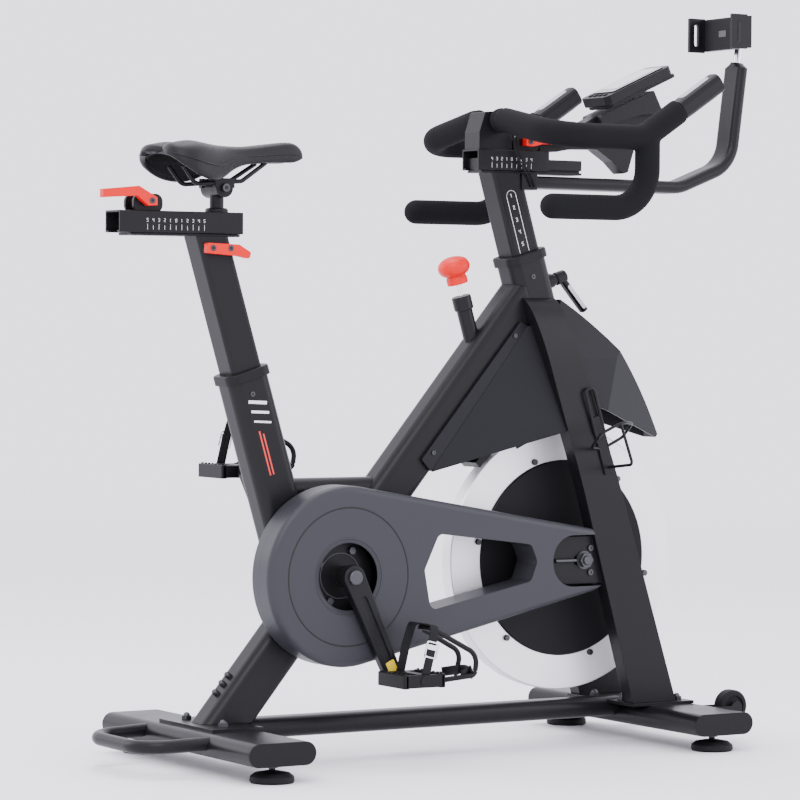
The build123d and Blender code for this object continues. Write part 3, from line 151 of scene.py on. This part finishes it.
SLOT_OF = {
    "frame_paint": paint, "cover_plastic": cover, "black_plastic": plastic, "foam": foam,
    "rubber": rubber, "saddle_cover": vinyl, "bright_steel": chrome, "machined_steel": steel,
    "zinc_fasteners": zinc, "red_plastic": red, "silver_paint": silver, "screen_plastic": plastic,
}


def dress(obj, material):
    obj.data.materials.clear()
    obj.data.materials.append(material)
    return obj


def dress_cad_nodes():
    """Every CAD node takes the material of its slot in the record."""
    for part in frame["record"]["subparts"]:
        obj = nodes[part["node"]]
        dress(obj, SLOT_OF[part["material_slot"]])
    dress(nodes["flywheel_covers"], disc_black)
    for name in ("side_cover_right", "side_cover_left", "front_shroud"):
        dress(nodes[name], panel)
    dress(nodes["flywheel_axle"], zinc)


# ---------------------------------------------------------------- mesh helpers
def mesh_object(name, vertices, faces, material, body, smooth=True):
    mesh = bpy.data.meshes.new(name)
    mesh.from_pydata([tuple(v) for v in vertices], [], faces)
    mesh.update()
    obj = bpy.data.objects.new(name, mesh)
    bpy.context.scene.collection.objects.link(obj)
    if smooth:
        mesh.shade_smooth()
    dress(obj, material)
    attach(obj, body)
    return obj


def modify(obj, kind, **settings):
    modifier = obj.modifiers.new(kind.lower(), kind)
    for key, value in settings.items():
        setattr(modifier, key, value)
    return modifier


def rounded_path(points, radii, step=0.004):
    """Straight runs joined by tangent arcs, as a list of points close together."""
    points = [Vector(p) for p in points]
    path = [points[0]]
    for i in range(1, len(points) - 1):
        before = (points[i - 1] - points[i]).normalized()
        after = (points[i + 1] - points[i]).normalized()
        bend = before.angle(after)
        radius = radii[i - 1]
        if radius <= 0 or bend > pi - 0.01:
            path.append(points[i])
            continue
        reach = radius / tan(bend / 2)
        middle = points[i] + (before + after).normalized() * (radius / sin(bend / 2))
        start = points[i] + before * reach - middle
        end = points[i] + after * reach - middle
        turn = start.angle(end)
        count = max(3, int(turn * radius / step))
        for k in range(count + 1):
            share = k / count
            path.append(middle + start.slerp(end, share).normalized() * radius)
    path.append(points[-1])
    return path


def section_frames(path, side):
    """Position, across and up direction at each point of a path."""
    frames = []
    for i, point in enumerate(path):
        ahead = path[min(i + 1, len(path) - 1)] - path[max(i - 1, 0)]
        ahead.normalize()
        up = ahead.cross(side)
        if up.length < 1e-6:
            up = ahead.orthogonal()
        up.normalize()
        across = up.cross(ahead).normalized()
        frames.append((point, across, up))
    return frames


def sweep_mesh(path, outline, side=Vector((0, 1, 0)), scale=None):
    """Vertices and faces of an outline carried along a path, closed at both ends."""
    vertices, faces = [], []
    count = len(outline)
    frames = section_frames(path, side)
    for i, (point, across, up) in enumerate(frames):
        size = scale[i] if scale else 1.0
        for a, b in outline:
            vertices.append(point + across * a * size + up * b * size)
    for i in range(len(frames) - 1):
        for k in range(count):
            n = (k + 1) % count
            faces.append((i * count + k, i * count + n, (i + 1) * count + n, (i + 1) * count + k))
    faces.append(tuple(range(count - 1, -1, -1)))
    last = (len(frames) - 1) * count
    faces.append(tuple(last + k for k in range(count)))
    return vertices, faces


def circle_outline(radius, count=24):
    return [(radius * cos(2 * pi * k / count), radius * sin(2 * pi * k / count)) for k in range(count)]


def box_outline(width, height, corner, count=5):
    """A rounded rectangle."""
    outline = []
    for cx, cy, start in ((1, 1, 0), (-1, 1, 90), (-1, -1, 180), (1, -1, 270)):
        for k in range(count):
            angle = radians(start + 90 * k / (count - 1))
            x = cx * (width / 2 - corner) + corner * cos(angle)
            y = cy * (height / 2 - corner) + corner * sin(angle)
            outline.append((x, y))
    return outline


def slab(name, centre, size, corner, material, body, turn=None, bevel=0.0004):
    """A rounded plate: size is along its own X, Y and Z, thickness along Z."""
    x, y, z = size
    outline = box_outline(x, y, corner)
    count = len(outline)
    vertices = [Vector((a, b, -z / 2)) for a, b in outline] + [Vector((a, b, z / 2)) for a, b in outline]
    faces = [tuple(range(count - 1, -1, -1)), tuple(count + k for k in range(count))]
    faces += [(k, (k + 1) % count, count + (k + 1) % count, count + k) for k in range(count)]
    place = Matrix.Translation(centre) @ (turn.to_4x4() if turn else Matrix.Identity(4))
    obj = mesh_object(name, [place @ v for v in vertices], faces, material, body, smooth=False)
    if bevel:
        modify(obj, "BEVEL", width=bevel, segments=3, limit_method="ANGLE")
    return obj


def disc(name, centre, axis, radius, thick, material, body, bevel=0.0004, sides=40):
    """A short cylinder centred on a point."""
    path = [centre - axis * thick / 2, centre + axis * thick / 2]
    side = axis.orthogonal().normalized()
    vertices, faces = sweep_mesh(path, circle_outline(radius, sides), side)
    obj = mesh_object(name, vertices, faces, material, body, smooth=False)
    if bevel:
        modify(obj, "BEVEL", width=bevel, segments=2, limit_method="ANGLE", angle_limit=radians(50))
    return obj


def ring(name, centre, radius, thick, material, body):
    """A thin round ring in a side plane."""
    vertices, faces = [], []
    turns, sides = 120, 8
    for i in range(turns):
        a = 2 * pi * i / turns
        for k in range(sides):
            b = 2 * pi * k / sides
            r = radius + thick * cos(b)
            vertices.append(centre + Vector((r * cos(a), thick * sin(b) * 0.5, r * sin(a))))
    for i in range(turns):
        for k in range(sides):
            j, n = (i + 1) % turns, (k + 1) % sides
            faces.append((i * sides + k, j * sides + k, j * sides + n, i * sides + n))
    return mesh_object(name, vertices, faces, material, body)


# ---------------------------------------------------------------- saddle
def lerp_table(table, x):
    """Smooth value at x from pairs (x, value) in rising order."""
    if x <= table[0][0]:
        return table[0][1]
    for (x0, v0), (x1, v1) in zip(table, table[1:]):
        if x <= x1:
            t = (x - x0) / (x1 - x0)
            t = t * t * (3 - 2 * t) * 0.5 + t * 0.5
            return v0 + (v1 - v0) * t
    return table[-1][1]


# Half width, crest height and edge height at stations along the saddle, mm
SADDLE_WIDTH = [(-304, 38), (-298, 58), (-285, 72), (-266, 77), (-240, 72), (-220, 62), (-200, 50),
                (-175, 38), (-150, 31), (-100, 26), (-60, 23), (-48, 19), (-41, 11)]
SADDLE_TOP = [(-304, 960), (-296, 969), (-262, 975), (-200, 970), (-160, 969), (-120, 973),
              (-80, 979), (-60, 979), (-48, 973), (-41, 962)]
SADDLE_EDGE = [(-304, 950), (-288, 936), (-262, 922), (-240, 914), (-220, 912), (-200, 918), (-178, 932),
               (-150, 942), (-100, 945), (-60, 946), (-41, 953)]


def saddle_point(x, t):
    """A point of the saddle's outer skin; t runs from -1 to 1 across it."""
    width = lerp_table(SADDLE_WIDTH, x)
    top = lerp_table(SADDLE_TOP, x)
    edge = lerp_table(SADDLE_EDGE, x)
    angle = t * pi / 2
    across = width * (abs(sin(angle)) ** 0.8) * (1 if t > 0 else -1)
    if abs(t) < 1e-6:
        across = 0.0
    fall = abs(t) ** 3.4
    height = top - (top - edge) * fall
    rear = max(0.0, min(1.0, (-140 - x) / 90))
    height -= 6.0 * rear * exp(-(across / 10) ** 2)
    lobe = exp(-((abs(across) - 42) / 22) ** 2) * max(0.0, min(1.0, (-215 - x) / 40))
    height += 2.0 * lobe
    notch = 24 * exp(-(across / 17) ** 2) * max(0.0, min(1.0, (-262 - x) / 42))
    return at(x + notch, across, height)


def make_saddle():
    """Padded saddle with a shell underneath and an edge seam."""
    stations = [-304, -301, -296, -288, -276, -262, -246, -230, -214, -198, -180, -155, -128, -100, -78,
                -62, -52, -45, -41]
    steps = [k / 10 for k in range(-10, 11)]
    vertices = [saddle_point(x, t) for x in stations for t in steps]
    n = len(steps)
    faces = []
    for i in range(len(stations) - 1):
        for k in range(n - 1):
            faces.append((i * n + k, (i + 1) * n + k, (i + 1) * n + k + 1, i * n + k + 1))
    obj = mesh_object("saddle_pad", vertices, faces, vinyl, "saddle")
    modify(obj, "SOLIDIFY", thickness=0.011, offset=-1)
    modify(obj, "SUBSURF", levels=2, render_levels=2)
    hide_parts("saddle")
    base = []
    for x in [-290, -278, -262, -245, -225, -205, -180, -150, -120, -90, -65]:
        for t in (-0.78, -0.5, -0.2, 0.2, 0.5, 0.78):
            base.append(saddle_point(x, t) - Vector((0, 0, 0.0125)))
    shell = []
    for i in range(10):
        for k in range(5):
            shell.append((i * 6 + k, (i + 1) * 6 + k, (i + 1) * 6 + k + 1, i * 6 + k + 1))
    under = mesh_object("saddle_shell", base, shell, plastic, "saddle")
    modify(under, "SOLIDIFY", thickness=0.003, offset=-1)
    modify(under, "SUBSURF", levels=1, render_levels=1)
    for name, way in (("right", -1), ("left", 1)):
        seam = [saddle_point(x, way * 0.86) for x in stations[2:-2]]
        vertices, faces = sweep_mesh(seam, circle_outline(0.0009, 8))
        mesh_object("saddle_seam_" + name, vertices, faces, vinyl, "saddle")


# ---------------------------------------------------------------- handlebar
BAR_Y = 205.0
BAR_SIDE_Z = 996.0
BAR_STEM_X = 318.0
BAR_STEM_Z = 1026.0
HORN_KNEE_X = 478.0
DROP_X = 487.0
GRIP_Z = 882.5
GRIP_DOME_X = 283.0
FOAM_RADIUS = 0.0205
HORN_RISE = radians(33.0)


def horn_point(along, y):
    return at(HORN_KNEE_X + along * cos(HORN_RISE), y, BAR_SIDE_Z + along * sin(HORN_RISE))


def dome_scales(path, radius, dome):
    """Scale of each section, falling almost to nothing over a half ball at a domed end."""
    lengths = [0.0]
    for a, b in zip(path, path[1:]):
        lengths.append(lengths[-1] + (b - a).length)
    total = lengths[-1]
    scales = []
    for length in lengths:
        value = 1.0
        if dome and total - length < radius:
            value = sqrt(max(0.0, 1 - ((radius - total + length) / radius) ** 2))
        scales.append(max(value, 0.08))
    return scales


def densify(path, step):
    """Points added along straight stretches, no further apart than about this step."""
    dense = [path[0]]
    for a, b in zip(path, path[1:]):
        count = max(1, int((b - a).length / step))
        dense += [a.lerp(b, (k + 1) / count) for k in range(count)]
    return dense


def make_foam_half(name, way):
    """Foam on one half of the bar: shoulder, side, lower grip, welded into one skin."""
    y = way * BAR_Y
    side = [at(BAR_STEM_X, way * 24.5, BAR_STEM_Z), at(BAR_STEM_X, way * 45, BAR_STEM_Z),
            at(BAR_STEM_X - 4, y, BAR_SIDE_Z), at(HORN_KNEE_X, y, BAR_SIDE_Z), horn_point(84, y)]
    drop = [at(DROP_X, y, BAR_SIDE_Z), at(DROP_X, y, GRIP_Z), at(GRIP_DOME_X, y, GRIP_Z)]
    vertices, faces = [], []
    for points, radii, dome in ((side, [0.025, 0.058, 0.06], False), (drop, [0.064], True)):
        path = densify(rounded_path(points, radii), 0.002 if dome else 0.006)
        scales = dome_scales(path, FOAM_RADIUS, dome)
        v, f = sweep_mesh(path, circle_outline(FOAM_RADIUS, 36), scale=scales)
        faces += [tuple(i + len(vertices) for i in face) for face in f]
        vertices += v
    obj = mesh_object("foam_" + name, vertices, faces, foam, "handlebar")
    modify(obj, "REMESH", mode="VOXEL", voxel_size=0.0024, use_smooth_shade=True)
    modify(obj, "SMOOTH", factor=0.6, iterations=6)
    return obj


def make_horn_sleeve(name, way):
    """Plastic end sleeve with its two metal contact strips."""
    y = way * BAR_Y
    start, end = horn_point(84.2, y), horn_point(174.5, y)
    along = (end - start).normalized()
    up = Vector((-sin(HORN_RISE), 0, cos(HORN_RISE)))
    path = [start, start.lerp(end, 0.5), end]
    vertices, faces = sweep_mesh(path, box_outline(0.034, 0.033, 0.011))
    sleeve = mesh_object("horn_sleeve_" + name, vertices, faces, plastic, "handlebar",
                         smooth=False)
    modify(sleeve, "BEVEL", width=0.0012, segments=3, limit_method="ANGLE", angle_limit=radians(40))
    turn = Matrix((along, Vector((0, 1, 0)), up)).transposed()
    middle = start.lerp(end, 0.5)
    for label, shift in (("upper", 0.0166), ("lower", -0.0166)):
        slab("contact_" + label + "_" + name, middle + up * shift, (0.064, 0.016, 0.0014), 0.005, silver,
             "handlebar", turn)
    cap_turn = Matrix((Vector((0, 1, 0)), up, along)).transposed()
    slab("horn_cap_" + name, end + along * 0.0006, (0.027, 0.026, 0.0016), 0.006, rubber, "handlebar",
         cap_turn)


def make_grips():
    """Foam and horn sleeves in place of the CAD grips, which are hidden."""
    halves = [make_foam_half("right", -1), make_foam_half("left", 1)]
    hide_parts("handlebar_grips")
    for name, way in (("right", -1), ("left", 1)):
        make_horn_sleeve(name, way)


# ---------------------------------------------------------------- console and phone holder
def make_console_face():
    """Screen, bezel and keys on the console's face."""
    tilt = radians(24.0)
    along = Vector((cos(tilt), 0, sin(tilt)))
    up = Vector((-sin(tilt), 0, cos(tilt)))
    turn = Matrix((along, Vector((0, 1, 0)), up)).transposed()
    centre = at(587, 0, 1101)
    slab("console_bezel", centre + along * 0.006 + up * 0.0012, (0.112, 0.062, 0.0016), 0.005, dark_glass,
         "handlebar", turn)
    slab("console_screen", centre + along * 0.008 + up * 0.0022, (0.088, 0.048, 0.0008), 0.003, glass,
         "handlebar", turn)
    for k in range(4):
        spot = centre - along * 0.060 + up * 0.0006 + Vector((0, (k - 1.5) * 0.014, 0))
        disc("console_key_" + str(k), spot, up, 0.0042, 0.002, rubber, "handlebar", sides=24)
    slab("console_back", centre + along * 0.006 - up * 0.0195, (0.148, 0.066, 0.006), 0.008, plastic,
         "handlebar", turn, 0.0015)


def make_phone_details():
    """Rubber pad on the back plate, a blank label and the knob behind the clamp."""
    turn = Matrix((Vector((0, 1, 0)), Vector((0, 0, 1)), Vector((1, 0, 0)))).transposed()
    slab("phone_back_pad", at(789.3, 0, 1192), (0.100, 0.050, 0.0014), 0.003, rubber, "phone_clamp",
         turn)
    slab("phone_label", at(788.4, 0, 1192), (0.020, 0.011, 0.0006), 0.001, zinc, "phone_clamp",
         turn)
    disc("phone_knob", at(813, 0, 1207), Vector((1, 0, 0)), 0.0105, 0.010, plastic, "phone_clamp")


# ---------------------------------------------------------------- pedals
CRANK_ANGLE = radians(-64.7)
PEDAL_Y = 160               # middle of the platform, mm out from the middle plane


def pedal_centre(way):
    angle = CRANK_ANGLE if way < 0 else CRANK_ANGLE + pi
    return CRANK_LENGTH * cos(angle), CRANK_Z + CRANK_LENGTH * sin(angle)


def make_pedal(name, way):
    """Resin platform with treads, wire toe cage, webbing strap and chrome buckle."""
    body = name + "_pedal"
    x, z = pedal_centre(way)

    def spot(dx, depth, dz):
        return at(x + dx, way * depth, z + dz)

    flat = Matrix.Identity(3)
    for label, dx in (("rear", -33), ("front", 33)):
        slab(name + "_pedal_bar_" + label, spot(dx, PEDAL_Y, 0), (0.010, 0.082, 0.022), 0.003, plastic, body,
             flat, 0.0012)
        for k in range(7):
            disc(name + "_tread_" + label + str(k), spot(dx, 126 + k * 11.4, 11.4), Vector((0, 0, 1)), 0.0022,
                 0.003, plastic, body, sides=12)
    for label, depth in (("inner", 123.5), ("outer", 196.5)):
        slab(name + "_pedal_end_" + label, spot(0, depth, 0), (0.074, 0.009, 0.020), 0.003, plastic, body,
             flat, 0.0012)
    slab(name + "_pedal_barrel", spot(0, PEDAL_Y, 0), (0.022, 0.076, 0.021), 0.006, plastic, body,
         flat, 0.003)
    disc(name + "_pedal_cap", spot(0, 201.2, 0), Vector((0, 1, 0)), 0.0085, 0.002, plastic, body)
    inner, outer = 127, 193
    hoop = [
        spot(38, inner, 0), spot(100, inner + 6, 4), spot(106, inner + 9, 36), spot(24, inner + 12, 80),
        spot(24, outer - 12, 80), spot(106, outer - 9, 36), spot(100, outer - 6, 4), spot(38, outer, 0),
    ]
    path = rounded_path(hoop, [0.010, 0.022, 0.012, 0.012, 0.022, 0.010], 0.002)
    vertices, faces = sweep_mesh(path, circle_outline(0.0041, 16), Vector((0.3, 0.2, 1)).normalized())
    mesh_object(name + "_toe_cage", vertices, faces, plastic, body)
    band = [spot(74, inner + 4, 6), spot(98, inner + 16, 10), spot(103, PEDAL_Y, 20),
            spot(98, outer - 16, 10), spot(74, outer - 4, 6)]
    path = rounded_path(band, [0.012, 0.05, 0.012], 0.003)
    vertices, faces = sweep_mesh(path, box_outline(0.014, 0.0035, 0.0015), Vector((0, 0, 1)))
    mesh_object(name + "_toe_band", vertices, faces, plastic, body)
    lean = radians(14)
    up = Vector((sin(lean), 0, cos(lean)))
    base = spot(0, PEDAL_Y, 0)
    half = 0.0375
    strap = []
    for depth, rise in ((-half, 0.008), (-half - 0.001, 0.050), (-half + 0.004, 0.088), (half - 0.004, 0.088),
                        (half + 0.001, 0.050), (half, 0.008)):
        strap.append(base + Vector((0, way * depth, 0)) + up * rise)
    path = densify(rounded_path(strap, [0.03, 0.008, 0.008, 0.03], 0.002), 0.006)
    flat_way = Vector((cos(lean), 0, -sin(lean)))
    vertices, faces = sweep_mesh(path, box_outline(0.0155, 0.0024, 0.0010, 3), flat_way)
    mesh_object(name + "_strap", vertices, faces, webbing, body)
    mark = base + Vector((0, way * (half + 0.0022), 0)) + up * 0.050
    turn = Matrix((flat_way, up, Vector((0, 1, 0)))).transposed()
    frame_path = []
    for a, b in ((-0.0105, -0.012), (0.0105, -0.012), (0.0105, 0.012), (-0.0105, 0.012), (-0.0105, -0.0119)):
        frame_path.append(mark + turn @ Vector((a, b, 0)))
    path = rounded_path(frame_path, [0.003, 0.003, 0.003], 0.001)
    vertices, faces = sweep_mesh(path, circle_outline(0.0015, 10), Vector((0, 1, 0)))
    mesh_object(name + "_buckle", vertices, faces, chrome, body)
    slab(name + "_buckle_tongue", mark + up * 0.004, (0.019, 0.008, 0.0022), 0.002, chrome, body,
         turn)
    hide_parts("pedal_" + name)


def make_crank_label():
    """Blank yellow label on the right crank, near the pedal."""
    from_crank = 158
    along = Vector((cos(CRANK_ANGLE), 0, sin(CRANK_ANGLE)))
    turn = Matrix((along, Vector((0, -1, 0)).cross(along), Vector((0, -1, 0)))).transposed()
    spot = at(from_crank * cos(CRANK_ANGLE), -112.3, CRANK_Z + from_crank * sin(CRANK_ANGLE))
    slab("crank_label", spot, (0.020, 0.016, 0.0005), 0.002, yellow, "crank", turn, 0.0)


# ---------------------------------------------------------------- printed marks
DIGIT_STROKES = {
    "0": [[(0, 0), (1, 0), (1, 2), (0, 2), (0, 0)]],
    "1": [[(0.5, 0), (0.5, 2), (0.2, 1.6)]],
    "2": [[(0, 2), (1, 2), (1, 1), (0, 1), (0, 0), (1, 0)]],
    "3": [[(0, 2), (1, 2), (1, 0), (0, 0)], [(0.2, 1), (1, 1)]],
    "4": [[(0, 2), (0, 1), (1, 1)], [(1, 2), (1, 0)]],
    "5": [[(1, 2), (0, 2), (0, 1), (1, 1), (1, 0), (0, 0)]],
}


def stroke(corners, a, b, width):
    """The four corners of one flat stroke from a to b."""
    ahead = (Vector(b) - Vector(a)).normalized()
    side = Vector((-ahead.y, ahead.x)) * width / 2
    ahead *= width / 2
    a, b = Vector(a), Vector(b)
    corners += [a - ahead - side, b + ahead - side, b + ahead + side, a - ahead + side]


def print_marks(name, lines, origin, along, up, width, material, body):
    """Flat ink lines on a face: lines are polylines in millimetres along and up."""
    corners = []
    for line in lines:
        for a, b in zip(line, line[1:]):
            stroke(corners, a, b, width)
    vertices = [origin + along * c.x / 1000 + up * c.y / 1000 for c in corners]
    faces = [(i, i + 1, i + 2, i + 3) for i in range(0, len(corners), 4)]
    obj = mesh_object(name, vertices, faces, material, body, smooth=False)
    modify(obj, "SOLIDIFY", thickness=0.00012, offset=0)
    return obj


def digit_lines(text, x, y, size):
    """Strokes of one digit, this high, with its foot at (x, y)."""
    lines = []
    for polyline in DIGIT_STROKES[text]:
        lines.append([(x + (a - 0.5) * size * 0.5, y + b * size * 0.5) for a, b in polyline])
    return lines


def slide_scale(name, digits, first_x, pitch, tick_z, digit_z, body, y):
    """A row of digits over long and short ticks."""
    lines = []
    for k, text in enumerate(digits):
        x = first_x + k * pitch
        lines += digit_lines(text, x, digit_z, 4.8)
        lines.append([(x, tick_z), (x, tick_z + (6 if k % 2 else 8))])
    print_marks(name, lines, at(0, y, 0), Vector((1, 0, 0)), Vector((0, 0, 1)), 0.5, white_ink, body)


def make_prints():
    """Slide scales, post marks and plain stripes in place of any lettering."""
    slide_scale("seat_scale", "54321012345", -323.5, 9.9, 837, 849, "seat_slide", -24.6)
    slide_scale("bar_scale", "432101234", 306, 9.6, 950, 962, "handlebar", -24.6)
    lean_up = Vector((-sin(LEAN), 0, cos(LEAN)))
    lean_along = Vector((cos(LEAN), 0, sin(LEAN)))
    post_x = 379.6 - (870 - 798) * 0.3
    lines = []
    for k in range(5):
        lines += digit_lines(str(k + 1), -4, 35 - 20.5 * k, 5.6)
    outline = []
    for k in range(13):
        angle = pi * k / 12
        outline.append((-4 + 9 * cos(angle), 37 + 9 * sin(angle)))
    lines.append([(5, -58)] + outline + [(-13, -58)])
    print_marks("post_scale", lines, at(post_x, -25.1, 870), lean_along, lean_up, 0.8, white_ink,
                "handlebar_post")
    tube_face = at(-142 - (540 - 606) * 0.3, -30.1, 540)
    for k, rise in enumerate((36, 20, 4)):
        print_marks("tube_stripe_pale_" + str(k), [[(-13, rise), (13, rise - 9)]], tube_face,
                    lean_along, lean_up, 5.0 - k, white_ink, "frame")
    print_marks("tube_stripe_red", [[(-10, -14), (-10, -84)], [(-4, -20), (-4, -84)]], tube_face,
                lean_along, lean_up, 2.6, red_ink, "frame")


# ---------------------------------------------------------------- small details
def make_cover_details():
    """Painted shade ring for the groove and a recess lip on the belt cover, and a ring round the crank's hub.
    """
    # dark ring of painted shade where the belt cover has a groove
    ring("cover_groove_shade", at(0, -92.05, CRANK_Z), 0.109, 0.0012, painted_hole_shade, "frame")
    ring("cover_recess_lip", at(0, -92.0, CRANK_Z), 0.0605, 0.0014, cover, "frame")
    ring("hub_ring", at(0, -64.4, CRANK_Z), 0.036, 0.0012, zinc, "crank")


def make_flywheel_bolts():
    """Six bolt heads on a circle on each side of the flywheel."""
    circle = 169
    for k in range(6):
        angle = radians(49.6 + 60 * k)
        for label, way in (("right", -1), ("left", 1)):
            spot = at(WHEEL_X + circle * cos(angle), way * 18.4, WHEEL_Z + circle * sin(angle))
            disc("rim_bolt_" + label + str(k), spot, Vector((0, 1, 0)), 0.0052, 0.002, zinc, "flywheel",
                 0.0005, 6)


def make_lever_sockets():
    """Washers on the red levers' screws, each with a flat dark hexagon of painted shade for its socket."""
    for name, x, y, z, body in (
        ("seat_slide", -318.6, -31.4, 881, "seat_slide_lever"),
        ("seat_height", -215.7, -38.3, 810, "seat_height_lever"),
        ("seat_height_front", -184.7, -38.3, 810, "seat_height_lever"),
        ("bar_slide", 377.6, -31.4, 994, "handlebar_lever"),
    ):
        disc(name + "_washer", at(x, y, z), Vector((0, 1, 0)), 0.0048, 0.0012, zinc, body)
        # flat near-black hexagon: painted shade for the screw's socket
        disc(name + "_socket", at(x, y - 0.5, z), Vector((0, 1, 0)), 0.0026, 0.0008, painted_hole_shade, body,
             0.0, 6)


def make_collar_screws():
    """Pinch screw on the near face of each collar's tube, with a flat dark hexagon of painted shade for its
    socket.
    """
    for name, x, z in (("seat", -140.5, 583), ("head", 384.5, 773)):
        disc(name + "_tube_screw", at(x, -30.4, z), Vector((0, 1, 0)), 0.0042, 0.002, zinc, "frame")
        # flat near-black hexagon: painted shade for the screw's socket
        disc(name + "_tube_screw_hole_shade", at(x, -31.5, z), Vector((0, 1, 0)), 0.002, 0.0006, painted_hole_shade,
             "frame", 0.0, 6)


def make_saddle_clamp():
    """Bolt head on the saddle clamp, with a flat dark hexagon of painted shade for its socket."""
    disc("saddle_bolt", at(-190, -30.6, 904), Vector((0, 1, 0)), 0.0065, 0.004, zinc, "saddle")
    # flat near-black hexagon: painted shade for the bolt's socket
    disc("saddle_bolt_hole_shade", at(-190, -32.8, 904), Vector((0, 1, 0)), 0.0032, 0.0008, painted_hole_shade, "saddle",
         0.0, 6)


def make_clamp_handle():
    """Pale insert along the head clamp lever's arm."""
    down = radians(155)
    centre = Vector(((379.6 + 47 * sin(LEAN) + CRANK_X) / 1000, 0, (798 - 47 * cos(LEAN)) / 1000))
    along = Vector((cos(LEAN), 0, sin(LEAN)))
    up = Vector((-sin(LEAN), 0, cos(LEAN)))
    root = centre + along * 0.068
    arm = (along * sin(down) + up * cos(down)).normalized()
    turn = Matrix((arm, Vector((0, 1, 0)).cross(arm), Vector((0, 1, 0)))).transposed()
    for label, way in (("right", -1), ("left", 1)):
        slab("clamp_insert_" + label, root + arm * 0.042 + Vector((0, way * 0.0086, 0)),
             (0.050, 0.007, 0.0008), 0.003, silver, "head_clamp_lever", turn)


# ---------------------------------------------------------------- stage, lights and camera
def make_stage():
    """Pale floor that fades into the pale background well behind the bike."""
    floor = new_material("floor", (0.86, 0.86, 0.89), 0.7)
    tree = floor.node_tree
    place = tree.nodes.new("ShaderNodeTexCoord")
    spread = tree.nodes.new("ShaderNodeMapping")
    spread.inputs["Scale"].default_value = (0.125, 0.125, 0.125)
    falloff = tree.nodes.new("ShaderNodeTexGradient")
    falloff.gradient_type = "SPHERICAL"
    fade = tree.nodes.new("ShaderNodeMapRange")
    fade.inputs["From Min"].default_value = 0.05
    fade.inputs["From Max"].default_value = 0.72
    clear = tree.nodes.new("ShaderNodeBsdfTransparent")
    mix = tree.nodes.new("ShaderNodeMixShader")
    tree.links.new(place.outputs["Object"], spread.inputs["Vector"])
    tree.links.new(spread.outputs["Vector"], falloff.inputs["Vector"])
    tree.links.new(falloff.outputs["Fac"], fade.inputs["Value"])
    tree.links.new(fade.outputs["Result"], mix.inputs["Fac"])
    tree.links.new(clear.outputs["BSDF"], mix.inputs[1])
    tree.links.new(tree.nodes["Principled BSDF"].outputs["BSDF"], mix.inputs[2])
    tree.links.new(mix.outputs["Shader"], tree.nodes["Material Output"].inputs["Surface"])
    mesh = bpy.data.meshes.new("floor")
    mesh.from_pydata([(-9, -9, 0), (9, -9, 0), (9, 9, 0), (-9, 9, 0)], [], [(0, 1, 2, 3)])
    obj = bpy.data.objects.new("floor", mesh)
    bpy.context.scene.collection.objects.link(obj)
    obj.data.materials.append(floor)
    world = bpy.data.worlds.new("studio")
    world.use_nodes = True
    background = world.node_tree.nodes["Background"]
    background.inputs["Color"].default_value = (0.87, 0.85, 0.95, 1)
    background.inputs["Strength"].default_value = 2.6
    bpy.context.scene.world = world


def area_light(name, place, target, size, power):
    """A rectangular soft light aimed at a point."""
    light = bpy.data.lights.new(name, "AREA")
    light.shape = "RECTANGLE"
    light.size, light.size_y = size
    light.energy = power
    obj = bpy.data.objects.new(name, light)
    obj.location = place
    aim = Vector(target) - Vector(place)
    obj.rotation_euler = aim.to_track_quat("-Z", "Y").to_euler()
    bpy.context.scene.collection.objects.link(obj)


def make_camera():
    """Seen from the right and a little behind, from about 0.7 m above the floor."""
    turn, rise, roll = radians(-31.56), radians(1.33), radians(0.39)
    back = Vector((sin(turn) * cos(rise), -cos(turn) * cos(rise), sin(rise)))
    right = Vector((cos(turn), sin(turn), 0))
    up = back.cross(right)
    right_rolled = right * cos(roll) + up * sin(roll)
    up_rolled = up * cos(roll) - right * sin(roll)
    camera = bpy.data.cameras.new("camera")
    camera.sensor_width = 36
    camera.lens = 156.2
    camera.clip_end = 60
    obj = bpy.data.objects.new("camera", camera)
    pose = Matrix((right_rolled, up_rolled, back)).transposed().to_4x4()
    pose.translation = at(-2781.79, -4770.08, 701.31)
    obj.matrix_world = pose
    bpy.context.scene.collection.objects.link(obj)
    bpy.context.scene.camera = obj


dress_cad_nodes()
make_saddle()
make_grips()
make_console_face()
make_phone_details()
make_pedal("right", -1)
make_pedal("left", 1)
make_crank_label()
make_prints()
make_cover_details()
make_flywheel_bolts()
make_lever_sockets()
make_collar_screws()
make_saddle_clamp()
make_clamp_handle()
make_stage()
area_light("key", (-2.2, -2.4, 3.2), (0, 0, 0.6), (1.8, 1.8), 80)
area_light("fill", (3.2, -2.6, 1.8), (0, 0, 0.5), (1.6, 2.2), 45)
area_light("top", (0.0, 0.6, 3.4), (0, 0, 0.5), (2.4, 1.6), 70)
area_light("rim", (-2.6, 2.6, 2.0), (0, 0, 0.6), (1.2, 2.0), 45)
make_camera()
